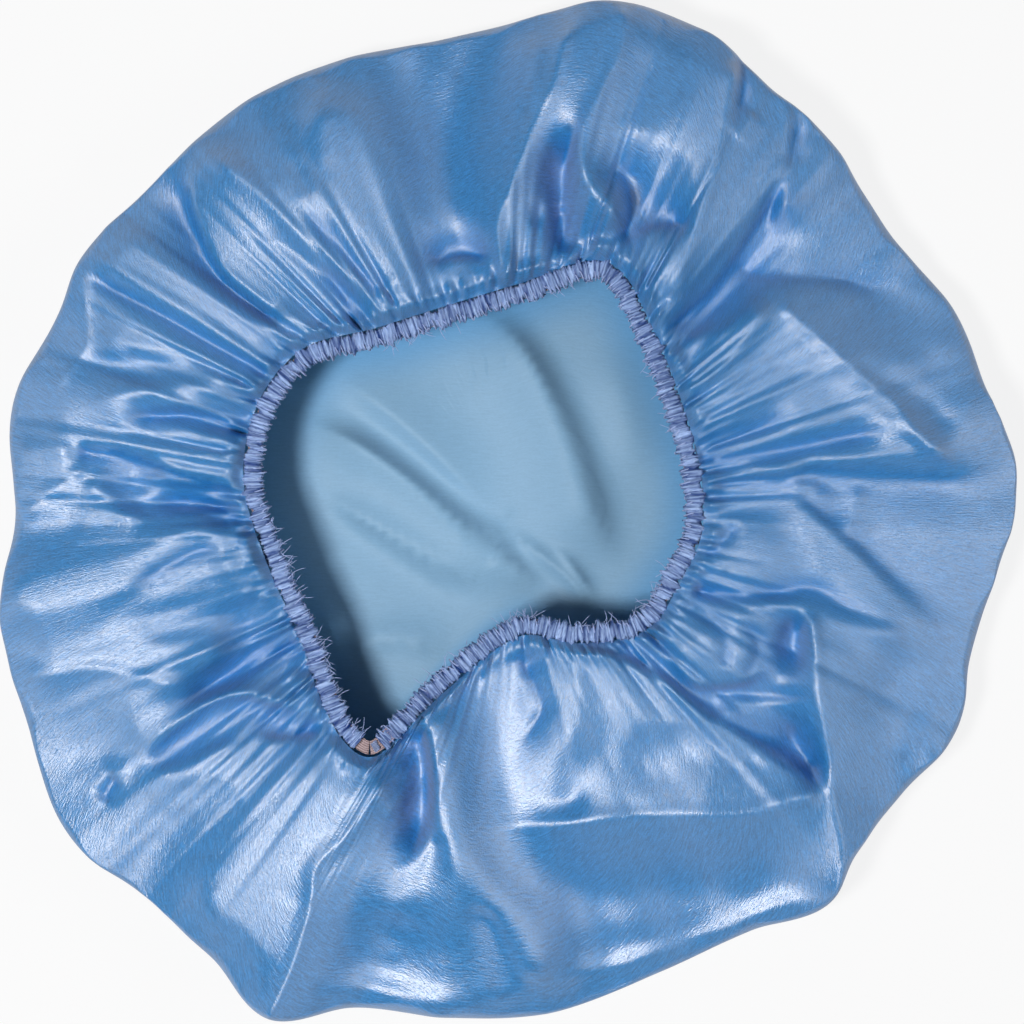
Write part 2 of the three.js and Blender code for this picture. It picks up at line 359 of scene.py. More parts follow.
# Folds of the satin, by the part of the picture that they are in
NORTH_WEST = (
    Fold("crest", ((195, 143), (218, 163), (263, 198), (301, 233), (329, 259), (358, 288), (382, 314)),
         (7, 9), (7, 13)),
    Fold("crease", ((306, 203), (315, 224), (339, 252), (362, 278), (386, 302)),
         (-6, 4), (-4, 3), fade=(0.35, 0.1)),
    Fold("broad ridge", ((303, 85), (330, 125), (362, 175), (380, 235), (398, 280), (425, 312)),
         (7, 7), (7, 8), edge=3),
    Fold("lap", ((188, 151), (190, 193), (204, 236), (228, 281), (251, 302), (282, 323), (303, 337)),
         (5, 14), (-6, 9)),
    Fold("soft ridge", ((249, 231), (282, 255), (315, 278), (346, 307), (360, 334)),
         (3.5, 4), (3.5, 5), edge=2, fade=(0.3, 0.1)),
    Fold("soft crease", ((318, 262), (343, 295), (362, 335)), (-5, 3), (-4, 3), fade=(0.4, 0.05)),
    Fold("low ridge", ((275, 316), (310, 330), (334, 344)), (3, 4), (3, 3)),
    Fold("arch", ((426, 273), (450, 263), (473, 261), (494, 264)), (-5, 6), (4, 9), edge=1.2),
    Puff("panel hollow", (445, 160), (26, 42), height=-3),
)
NORTH = (
    Fold("soft ridge", ((536, 35), (536, 71), (534, 123)), (2.5, 4), (2.5, 4), edge=2, fade=(0.3, 0.3)),
    Fold("crest",
         ((572, 26), (562, 57), (553, 92), (534, 132), (522, 165), (508, 201), (498, 231), (500, 262),
          (514, 278)),
         (7, 8), (7, 6), fade=(0.1, 0.05)),
    Fold("deep valley", ((595, 71), (586, 113), (572, 146), (562, 179), (561, 212), (564, 252)),
         (-4.5, 5), (-4.5, 6), edge=2.5, fade=(0.7, 0.05)),
    Fold("bent crest",
         ((616, 7), (621, 31), (616, 64), (605, 87), (593, 111), (582, 137), (579, 160), (583, 182),
          (595, 201), (614, 224), (620, 240)),
         (6, 12), (6, 4), fade=(0.08, 0.1)),
    Puff("left puff", (538, 235), (7, 13), height=5),
    Puff("left dimple", (536, 219), (2.5, 4), height=-2.5),
    Puff("right puff", (593, 230), (8, 12), height=5),
    Puff("right dimple", (600, 240), (4, 2.5), height=-2.5),
    Fold("slot", ((563, 205), (563, 230), (566, 258)), (-4, 2.5), (-4, 2.5), edge=1.2),
    Fold("side crease", ((612, 158), (625, 182), (631, 205), (629, 226), (624, 258)), (-3, 5), (-5, 3)),
    Fold("soft hump", ((705, 60), (678, 78), (656, 101), (635, 127), (620, 153)), (4, 7), (4, 6), edge=3),
    Fold("east crest", ((732, 66), (727, 94), (718, 142), (706, 189), (692, 231), (680, 267), (666, 304)),
         (7, 16), (7, 8), fade=(0.08, 0.05)),
    Fold("arch", ((626, 250), (642, 236), (661, 231), (688, 229)), (-6, 9), (3, 6)),
    Puff("bulge", (654, 265), (8, 8), height=3),
    Puff("loop", (653, 315), (7, 4.5), height=3, turn=-15),
    Fold("wedge", ((735, 58), (741, 80), (738, 112), (724, 146)), (-5, 2.2), (-5, 2.2), fade=(0.1, 0.5)),
    Fold("wedge edge", ((749, 116), (738, 130), (726, 144)), (3, 3), (2, 3), edge=1),
)
NORTH_EAST = (
    Fold("shoulder crest", ((776, 92), (782, 120), (784, 146), (782, 166)), (4, 3), (4, 9), edge=1.2),
    Fold("shoulder valley", ((797, 112), (795, 135), (788, 160), (780, 178)),
         (-4, 3), (-4, 2.5), fade=(0.4, 0.4)),
    Fold("shoulder ridge", ((822, 130), (819, 160), (800, 182), (775, 203), (757, 219)),
         (4, 7), (4, 6), edge=2.5),
    Fold("lap", ((783, 172), (771, 197), (748, 233), (730, 262), (707, 292), (682, 315), (660, 335)),
         (-6, 9), (5, 12), edge=2, fade=(0.15, 0.1)),
    Puff("deep hollow", (706, 300), (24, 10), height=-6, turn=46),
    Fold("panel crease", ((730, 262), (755, 276), (789, 279), (839, 281), (867, 288), (903, 284)),
         (-3.5, 4), (-3.5, 3), fade=(0.1, 0.3)),
    Fold("long leg", ((771, 303), (789, 322), (821, 349), (853, 379), (887, 405), (914, 442), (955, 467)),
         (6, 14), (6, 12), edge=1.2, fade=(0.1, 0.15)),
    Fold("short leg", ((772, 303), (755, 322), (732, 354), (703, 383), (684, 396)),
         (6, 9), (5, 5), edge=1.2),
    Fold("second line", ((764, 301), (737, 328), (721, 334), (694, 342), (676, 355)),
         (3.5, 3.5), (3.5, 3), edge=1),
    Puff("panel hollow", (902, 405), (15, 7), height=-3.5, turn=-38),
    Fold("rim ridge", ((932, 325), (942, 380), (952, 440)), (2.5, 5), (2.5, 5), edge=3),
)
EAST = (
    Fold("upper crease", ((690, 440), (720, 436), (750, 429), (794, 409)),
         (-4, 4), (-4, 3), fade=(0.05, 0.35)),
    Fold("middle crease", ((690, 462), (714, 460), (777, 451), (832, 440), (887, 431)),
         (-6, 3.5), (-6, 3.5), fade=(0.05, 0.2)),
    Fold("ridge", ((695, 470), (777, 463), (850, 455), (900, 450), (940, 458), (956, 468)),
         (3.5, 5), (3.5, 4), edge=2),
    Fold("lap",
         ((695, 480), (736, 475), (777, 478), (805, 467), (846, 470), (914, 473), (955, 475),
          (1018, 472)),
         (2.5, 7), (-3, 6), fade=(0.05, 0.3)),
    Fold("hump", ((720, 372), (760, 385), (800, 405), (850, 440)), (4, 8), (4, 8), edge=4),
    Fold("small loop", ((779, 481), (805, 489), (817, 496), (822, 484)), (2.5, 2.5), (2.5, 2.5), edge=1),
    Fold("lobe edge",
         ((755, 482), (794, 500), (843, 541), (887, 582), (918, 608), (938, 650), (950, 690)),
         (-2.5, 6), (3, 14), fade=(0.2, 0.5)),
    Fold("lobe foot", ((687, 588), (750, 594), (805, 588), (846, 607), (887, 623), (922, 634)),
         (-6, 3.5), (-6, 3.5), edge=2, fade=(0.05, 0.6)),
    Fold("crest below", ((700, 600), (750, 603), (799, 604), (832, 618), (880, 630), (915, 638)),
         (3.5, 3), (3.5, 7), edge=1.2),
    Puff("lobe", (735, 550), (15, 12), height=5),
    Fold("lobe crease", ((697, 560), (720, 540), (733, 522)), (-3, 2), (-3, 2), edge=1),
    Fold("strip", ((856, 482), (850, 510), (842, 538)), (2, 3), (2, 3), edge=1.5),
)
SOUTH_EAST = (
    Fold("upright crest",
         ((798, 607), (806, 640), (812, 690), (820, 740), (828, 800), (838, 855), (834, 900)),
         (6, 16), (6, 5), edge=1.3, fade=(0.05, 0.05)),
    Fold("wedge", ((797, 615), (795, 650), (785, 690)), (-2.5, 3), (-2.5, 6), fade=(0.1, 0.6)),
    Fold("low wedge", ((775, 705), (795, 740), (818, 778)), (-4, 5), (-4, 3), edge=2, fade=(0.5, 0.2)),
    Fold("thin crease", ((694, 688), (752, 696), (808, 696)), (-2.5, 3), (1, 3), edge=1),
    Fold("front lap",
         ((571, 641), (614, 652), (660, 675), (706, 709), (752, 739), (801, 770), (819, 783)),
         (-10, 5), (5, 16), fade=(0.05, 0.05)),
    Fold("level crest",
         ((470, 824), (520, 821), (560, 818), (614, 811), (675, 808), (737, 807), (783, 796), (819, 785)),
         (7.5, 9), (7.5, 6), edge=1.2, fade=(0.4, 0.05)),
    Puff("tongue", (557, 695), (10, 17), height=4.5, turn=15),
    Fold("tongue crease", ((516, 650), (535, 687), (541, 705), (524, 733), (519, 748)),
         (-3, 2), (-2, 2.5), fade=(0.05, 0.4)),
    Puff("tongue dimple", (530, 662), (3, 3), height=-2.5),
    Fold("soft ridge", ((655, 700), (610, 722), (575, 748), (562, 780), (585, 815)),
         (4, 6), (4, 6), edge=3),
    Fold("short ridge", ((700, 705), (730, 735), (757, 764)), (3, 6), (3, 6), edge=3),
    Puff("puff", (720, 635), (17, 13), height=6),
    Fold("puff crease", ((690, 612), (712, 622), (722, 645), (716, 668)), (-3, 2.5), (-3, 2.5), edge=1.2),
    Fold("puff second crease", ((735, 615), (752, 635), (750, 660), (735, 675)),
         (-2.5, 2.5), (-2.5, 2.5), edge=1.2),
    Fold("puff foot", ((655, 625), (690, 682), (752, 676), (768, 655)), (4, 8), (-4, 4)),
    Puff("panel hollow", (480, 745), (9, 20), height=-3),
    Fold("rim ridge",
         ((538, 988), (571, 974), (614, 968), (663, 950), (721, 931), (783, 903), (825, 899)),
         (1.8, 2.5), (1.8, 2.5), edge=1),
)
SOUTH = (
    Fold("crest",
         ((431, 705), (436, 757), (441, 800), (449, 830), (477, 874), (507, 917), (529, 956), (538, 987)),
         (7, 9), (7, 6), edge=1.8, fade=(0.05, 0.1)),
    Fold("deep valley", ((420, 722), (429, 760), (429, 790), (422, 823), (404, 874), (386, 904)),
         (-3.5, 4), (-3.5, 6), edge=2.5, fade=(0.05, 0.6)),
    Fold("branch", ((442, 822), (424, 853), (396, 892), (376, 922)),
         (4, 6), (4, 4), edge=2, fade=(0.1, 0.35)),
    Fold("rim ridge", ((473, 886), (484, 915), (492, 947), (505, 1000)),
         (4, 6), (4, 6), edge=3, fade=(0.3, 0.1)),
    Fold("arch at the join", ((396, 752), (411, 775), (406, 790), (384, 813)),
         (3.5, 3), (3.5, 4), edge=1.2),
    Fold("west crest",
         ((389, 768), (373, 795), (350, 828), (321, 859), (315, 897), (299, 950), (284, 986),
          (270, 1013)),
         (6, 10), (6, 9), edge=1.2, fade=(0.05, 0.02)),
    Fold("broad ridge", ((325, 735), (317, 769), (292, 808), (269, 843), (233, 897), (202, 930)),
         (5, 9), (5, 9), edge=5),
    Fold("rim swell", ((310, 985), (361, 986), (420, 998), (500, 1008)), (2.5, 4), (2, 3), edge=2),
)
SOUTH_WEST = (
    Fold("bent crest",
         ((135, 771), (161, 743), (190, 720), (218, 700), (248, 694), (275, 700), (310, 709), (326, 702)),
         (5, 8), (-6, 9), edge=1.2),
    Fold("low crest", ((138, 771), (184, 759), (218, 743), (255, 730)), (-3, 7), (4, 12), edge=1.2),
    Fold("lap at the band", ((255, 731), (298, 734), (330, 730)), (-5, 6), (4, 10)),
    Fold("small hole", ((106, 800), (112, 785), (122, 775)), (-3.5, 2.5), (-3.5, 2.5), edge=1),
    Fold("hole edge", ((101, 793), (113, 771), (129, 768), (136, 773)), (1.2, 2.5), (1.2, 2.5), edge=1),
    Fold("thin crest", ((9, 677), (57, 671), (96, 665), (129, 670), (172, 679), (207, 688)),
         (3.5, 6), (3.5, 8), edge=1.2),
    Fold("deep valley",
         ((308, 636), (290, 645), (271, 648), (252, 658), (230, 674), (207, 690), (175, 712), (140, 738)),
         (-6, 5), (-6, 4), edge=2, fade=(0.05, 0.6)),
    Fold("long ridge",
         ((5, 600), (57, 586), (115, 576), (161, 560), (195, 545), (225, 538), (248, 545), (260, 556)),
         (5, 12), (5, 6), edge=3, fade=(0.1, 0.05)),
    Fold("long crease", ((138, 586), (172, 568), (207, 551), (230, 550)), (-4, 3), (-3, 4)),
    Fold("loop ridge",
         ((222, 556), (195, 574), (161, 592), (132, 614), (121, 630), (142, 647), (184, 651),
          (230, 648), (258, 652)),
         (3.5, 5), (3.5, 5), edge=2.5),
    Puff("loop hollow", (200, 618), (20, 7), height=-3.5),
    Fold("short ridge", ((227, 550), (241, 576), (252, 592), (262, 597)), (2.5, 3), (2.5, 3)),
    Puff("finger end", (276, 615), (7, 10), height=4),
    Fold("band crest", ((285, 671), (305, 677), (321, 684)), (3, 3), (3, 3), edge=1),
)
WEST = (
    Fold("upper lobe", ((100, 240), (140, 264), (190, 292), (240, 322), (280, 352)),
         (4, 7), (4, 7), edge=3, fade=(0.2, 0.1)),
    Fold("upper crease",
         ((87, 274), (121, 294), (173, 322), (206, 341), (239, 359), (260, 370), (273, 380)),
         (-5, 2.6), (-5, 2.2), fade=(0.15, 0.05)),
    Fold("rim line", ((82, 270), (88, 300), (93, 333), (91, 350), (69, 380), (65, 396)),
         (2.5, 4), (2.5, 5), edge=1.2),
    Fold("soft ridge", ((93, 338), (152, 349), (195, 363), (249, 380)), (4, 6), (4, 7), edge=3),
    Puff("panel hollow", (160, 372), (24, 5), height=-4, turn=-5),
    Fold("ridge", ((87, 405), (152, 394), (195, 387), (228, 391), (258, 397)), (4, 4), (4, 4), edge=1.5),
    Fold("low ridge", ((152, 410), (195, 408), (217, 412), (249, 425)), (3, 2.5), (3, 2.5)),
    Fold("dark crease", ((125, 419), (160, 418), (195, 417), (228, 424), (252, 438)),
         (-8, 2.5), (-7, 3.5), edge=1.5, fade=(0.3, 0.05)),
    Fold("broad ridge", ((40, 430), (75, 434), (108, 439), (152, 433), (200, 440)),
         (3, 7), (3, 7), edge=4),
    Puff("band puff", (228, 443), (6, 4), height=2.5),
    Fold("lower lap", ((82, 449), (130, 454), (163, 465), (206, 480), (241, 488)),
         (4, 8), (-7, 5), edge=1.3, fade=(0.05, 0.05)),
    Fold("rim step", ((13, 450), (50, 451), (82, 449)), (2, 4), (2, 4), edge=1.2),
    Fold("rim corner", ((82, 449), (86, 469), (54, 495), (22, 523)), (2.5, 4), (2.5, 5), edge=1.2),
    Fold("slanted ridge", ((89, 478), (113, 493), (130, 508), (152, 517)), (3, 3), (3, 4)),
    Puff("pocket", (134, 490), (8, 5), height=-2.5, turn=-20),
    Puff("long puff", (178, 482), (10, 4.5), height=3, turn=-15),
    Fold("thin ridge", ((156, 467), (195, 487), (228, 502), (245, 515)), (3, 2.5), (3, 3)),
    Fold("deep valley", ((152, 503), (195, 500), (217, 506), (245, 523), (258, 535)),
         (-8, 4), (-7, 4), edge=2, fade=(0.3, 0.05)),
    Fold("valley lap", ((99, 500), (138, 513), (161, 517), (197, 514), (230, 525), (252, 541)),
         (-2, 5), (4, 10), edge=2.5),
)
SKIRT_FOLDS = NORTH_WEST + NORTH + NORTH_EAST + EAST + SOUTH_EAST + SOUTH + SOUTH_WEST + WEST

# Soft folds of the crown, seen through the opening
CROWN_FOLDS = (
    Fold("low band", ((296, 420), (345, 440), (398, 475), (470, 536), (545, 592)),
         (7, 3), (7, 9), edge=1.5, fade=(0.25, 0.2)),
    Fold("light band", ((455, 300), (515, 345), (548, 400), (570, 450), (592, 520), (612, 575)),
         (8, 3.5), (8, 15), edge=1.8, fade=(0.3, 0.25)),
    Fold("lower line", ((318, 488), (375, 525), (453, 570), (500, 584)),
         (4.5, 7), (4.5, 2.5), edge=1.2, fade=(0.3, 0.3)),
    Fold("upper band", ((330, 368), (395, 415), (450, 465), (500, 520)),
         (3.5, 8), (3.5, 3), edge=2, fade=(0.3, 0.4)),
    Fold("thin line", ((500, 528), (565, 575), (590, 606)),
         (2.2, 2), (2.2, 2), edge=0.8, fade=(0.4, 0.2)),
    Fold("short line", ((554, 542), (578, 575), (596, 600)), (2, 2), (2, 2), edge=0.8, fade=(0.4, 0.3)),
    Fold("far swell", ((600, 330), (625, 410), (645, 490)), (3, 7), (3, 7), edge=3, fade=(0.4, 0.4)),
    Fold("foot line", ((345, 640), (400, 640), (450, 655)),
         (2.5, 4), (2.5, 3), edge=1.2, fade=(0.4, 0.4)),
)


class BandLine:
    """The closed line along the middle of the elastic band, measured by its length from the join."""

    SHAPE = (
        (238.9, 1.295), (241.5, 1.163), (247, 0.882), (274, 0.541), (299.5, 0.659), (320, 0.8),
        (338, 0.813), (354, 0.855), (373.4, 0.865), (395.7, 0.918), (415, 1.063), (429, 1.213),
        (448, 1.028), (467.7, 0.974), (487.5, 1.036), (503, 1.208), (517, 1.255), (533, 1.228),
        (551.7, 1.132), (570.3, 1.118), (585.7, 1.222), (593, 1.287),
    )
    RADIUS = 68.0
    ELASTIC_HALF_WIDTH = 3.2
    STEPS = 60
    BOX_STATIONS = 800
    PROBE = 0.4

    def __init__(self) -> None:
        """Draws the line through SHAPE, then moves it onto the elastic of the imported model."""
        degrees, share = np.array(self.SHAPE).T
        angle = np.radians(degrees)
        corners = self.RADIUS * share[:, None] * np.column_stack([np.cos(angle), np.sin(angle)])
        line = smooth_line(corners, self.STEPS, True)
        self._line = np.vstack([line, line[:1]])
        steps = np.linalg.norm(np.diff(self._line, axis=0), axis=1)
        self._at = np.concatenate([[0.0], np.cumsum(steps)])
        self.length = float(self._at[-1])
        self.shift = np.zeros(2)
        self.shift = self._packed_middle() - self._own_middle()

    def _own_middle(self) -> Array:
        """Middle of the box round the outer edge of the elastic."""
        point, _, out = self.stations(np.linspace(0.0, self.length, self.BOX_STATIONS))
        aside = self.ELASTIC_HALF_WIDTH * out
        edge = np.vstack([point - aside, point + aside])
        return (edge.min(axis=0) + edge.max(axis=0)) / 2.0

    def _packed_middle(self) -> Array:
        """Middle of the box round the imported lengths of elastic."""
        boxes = [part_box(f"elastic_{number + 1:02d}") for number in range(SEGMENTS)]
        low = np.array([box[0][:2] for box in boxes]).min(axis=0)
        high = np.array([box[1][:2] for box in boxes]).max(axis=0)
        return (low + high) / 2.0 / MM

    def stations(self, length: Array) -> tuple[Array, Array, Array]:
        """Places on the line with the directions along it and out of the opening.

        Args:
            length: lengths from the join, which may run past a whole turn.

        Returns:
            Points, unit directions along and unit directions outward, each an (n, 2) array.
        """
        point, ahead, behind = (self._at_length(length + step) for step in (0.0, self.PROBE, -self.PROBE))
        along = ahead - behind
        along /= np.linalg.norm(along, axis=1, keepdims=True)
        out = np.column_stack([along[:, 1], -along[:, 0]])
        return point, along, out

    def _at_length(self, length: Array) -> Array:
        """Places at lengths from the join."""
        wrapped = np.mod(length, self.length)
        places = [np.interp(wrapped, self._at, axis) for axis in self._line.T]
        return np.column_stack(places) + self.shift


@dataclass
class TautCloth:
    """Cloth drawn taut over the ridges and into the valleys of the broad folds.

    On a square raster of heights z it solves firm · (z − held height) + slack · z = ∇²z − round² · ∇⁴z:
    near a fold the cloth is held, and between two folds it is a taut panel with rounded edges.
    """

    scale: PhotoScale
    half: float = 172.0
    step: float = 0.7
    grip: float = 10.0
    slack: float = 1.0 / 30.0**2
    round_edge: float = 2.0
    sharp_edge: float = 0.35
    rounds: int = 320
    height: Array = field(init=False)

    def __post_init__(self) -> None:
        """Solves with round edges and with sharp ones, and takes the lower: only valleys are sharp."""
        axis = np.arange(-self.half, self.half + self.step, self.step)
        place = np.stack(np.meshgrid(axis, axis), axis=-1).reshape(-1, 2) + self.scale.shift
        firm, pull = np.zeros(len(place)), np.zeros(len(place))
        for fold in SKIRT_FOLDS:
            if isinstance(fold, Fold) and fold.broad:
                more, drawn = fold.hold(place, self.scale)
                firm += more
                pull += drawn
        shape = (len(axis), len(axis))
        firm = self.grip * firm.reshape(shape) + self.slack
        pull = self.grip * pull.reshape(shape)
        edges = self.round_edge, self.sharp_edge
        self.height = np.minimum(*(self._solve(firm, pull, edge) for edge in edges))
        LOG.info("taut cloth: %.1f to %.1f mm", self.height.min(), self.height.max())

    def _solve(self, firm: Array, pull: Array, rounding: float) -> Array:
        """Heights by conjugate gradients, scaled by the diagonal.

        Args:
            firm: how firmly the cloth is held at each place of the raster.
            pull: firmness times the height that it is held at.
            rounding: length over which the cloth bends.

        Returns:
            The raster of heights.
        """
        scale = 1.0 / (firm + 4.0 / self.step**2 + 20.0 * rounding**2 / self.step**4)
        z = np.zeros(firm.shape)
        rest = pull
        way = scale * rest
        size = (rest * way).sum()
        for _ in range(self.rounds):
            bent = self._curl(way)
            push = firm * way + bent + rounding**2 * self._curl(bent)
            far = size / (way * push).sum()
            z = z + far * way
            rest = rest - far * push
            next_way = scale * rest
            next_size = (rest * next_way).sum()
            way = next_way + next_size / size * way
            size = next_size
        return z

    def _curl(self, z: Array) -> Array:
        """Minus the Laplacian of the raster, with level edges."""
        wide = np.pad(z, 1, mode="edge")
        bend = 4.0 * z - wide[:-2, 1:-1] - wide[2:, 1:-1] - wide[1:-1, :-2] - wide[1:-1, 2:]
        return bend / self.step**2

    def at(self, place: Array) -> Array:
        """Heights at places in millimetres, by cubic B-splines over the raster."""
        grid = (place - self.scale.shift + self.half) / self.step
        cell = np.clip(np.floor(grid).astype(int), 1, len(self.height) - 3)
        t = grid - cell
        inner = 3 * t**3 - 6 * t**2 + 4, -3 * t**3 + 3 * t**2 + 3 * t + 1
        weight = np.stack([(1 - t) ** 3, *inner, t**3], axis=-1) / 6.0
        total = np.zeros(len(place))
        for row in range(4):
            for column in range(4):
                part = self.height[cell[:, 1] + row - 1, cell[:, 0] + column - 1]
                total += weight[:, 1, row] * weight[:, 0, column] * part
        return total


class MeshWriter:
    """Makes mesh objects from arrays in millimetres."""

    @staticmethod
    def quads(rows: int, columns: int, closed: bool) -> Array:
        """Quads of a grid with row-major vertices, turned so that rows × columns faces out.

        Args:
            rows: rows of vertices.
            columns: columns of vertices.
            closed: whether the last column joins the first.

        Returns:
            Vertex numbers as an (n, 4) array.
        """
        r = np.arange(rows - 1)[:, None]
        c = np.arange(columns if closed else columns - 1)[None, :]
        n = (c + 1) % columns
        corners = [r * columns + c, (r + 1) * columns + c, (r + 1) * columns + n, r * columns + n]
        return np.stack(corners, axis=-1).reshape(-1, 4)

    @staticmethod
    def strand(points: Array, radius: float, side: Array, corners: int = 6) -> Shape:
        """A thin closed tube along a line.

        Args:
            points: (n, 3) places along the line.
            radius: half its thickness; the ends taper to a third.
            side: a direction that the line never runs along.
            corners: corners of its section, an even number.

        Returns:
            Vertices and faces.
        """
        along = np.gradient(points, axis=0)
        one = np.cross(along, side)
        one /= np.linalg.norm(one, axis=1, keepdims=True)
        two = np.cross(along, one)
        two /= np.linalg.norm(two, axis=1, keepdims=True)
        turn = 2.0 * math.pi * np.arange(corners) / corners
        thick = np.full(len(points), radius)
        thick[[0, -1]] = radius / 3.0
        cosine, sine = np.cos(turn)[:, None], np.sin(turn)[:, None]
        ring = cosine * one[:, None, :] + sine * two[:, None, :]
        vertices = (points[:, None, :] + thick[:, None, None] * ring).reshape(-1, 3)
        faces = MeshWriter.quads(len(points), corners, True)[:, ::-1]
        near = np.array([[k, k + 1, k + 2, 0] for k in range(1, corners - 2, 2)])
        far = near[:, ::-1] + len(vertices) - corners
        return vertices, np.vstack([faces, near, far])

    @staticmethod
    def bridge(first: Array, second: Array) -> Array:
        """Quads between two runs of vertex numbers of the same length."""
        return np.column_stack([first[:-1], first[1:], second[1:], second[:-1]])

    @staticmethod
    def write(
        name: str,
        vertices: Array,
        faces: Array,
        materials: list[Material],
        kind: Array | None = None,
        normals: Array | None = None,
        flat_place: Array | None = None,
        rib: Array | None = None,
    ) -> Piece:
        """A mesh object at the origin, with smooth faces.

        Args:
            name: name of the piece.
            vertices: (n, 3) array in millimetres.
            faces: (m, 4) array of vertex numbers.
            materials: the piece's materials.
            kind: material number of each face.
            normals: direction that each vertex faces.
            flat_place: (n, 2) place of each vertex on the flat cloth, in metres.
            rib: painted light and shade of each vertex, from 0 in painted shade to 1 clear of it.

        Returns:
            The new object, linked to the scene.
        """
        mesh = bpy.data.meshes.new(name)
        mesh.vertices.add(len(vertices))
        mesh.vertices.foreach_set("co", np.ascontiguousarray(vertices * MM, np.float32).ravel())
        mesh.loops.add(faces.size)
        mesh.loops.foreach_set("vertex_index", faces.astype(np.int32).ravel())
        mesh.polygons.add(len(faces))
        mesh.polygons.foreach_set("loop_start", np.arange(0, faces.size, 4, dtype=np.int32))
        mesh.polygons.foreach_set("use_smooth", np.ones(len(faces), bool))
        if kind is not None:
            mesh.polygons.foreach_set("material_index", kind.astype(np.int32))
        for material in materials:
            mesh.materials.append(material)
        if flat_place is not None:
            layer = mesh.uv_layers.new(name=CLOTH)
            layer.data.foreach_set("uv", flat_place[faces.ravel()].astype(np.float32).ravel())
        if rib is not None:
            heights = mesh.attributes.new(SHADE_ATTRIBUTE, "FLOAT", "POINT")
            heights.data.foreach_set("value", rib.astype(np.float32))
        mesh.update()
        mesh.validate()
        if normals is not None:
            mesh.normals_split_custom_set_from_vertices(normals.tolist())
        piece = bpy.data.objects.new(name, mesh)
        bpy.context.scene.collection.objects.link(piece)
        return piece


@dataclass(frozen=True)
class LowShoulder:
    """A stretch where the shoulder sinks: its angle and half width in degrees, and how far it drops."""

    angle: float
    half: float
    drop: float


@dataclass(frozen=True)
class Gather:
    """One size of the gathers: how far apart, how deep and how long they are, and where they start."""

    pitch: float
    depth: float
    reach: float
    start: float


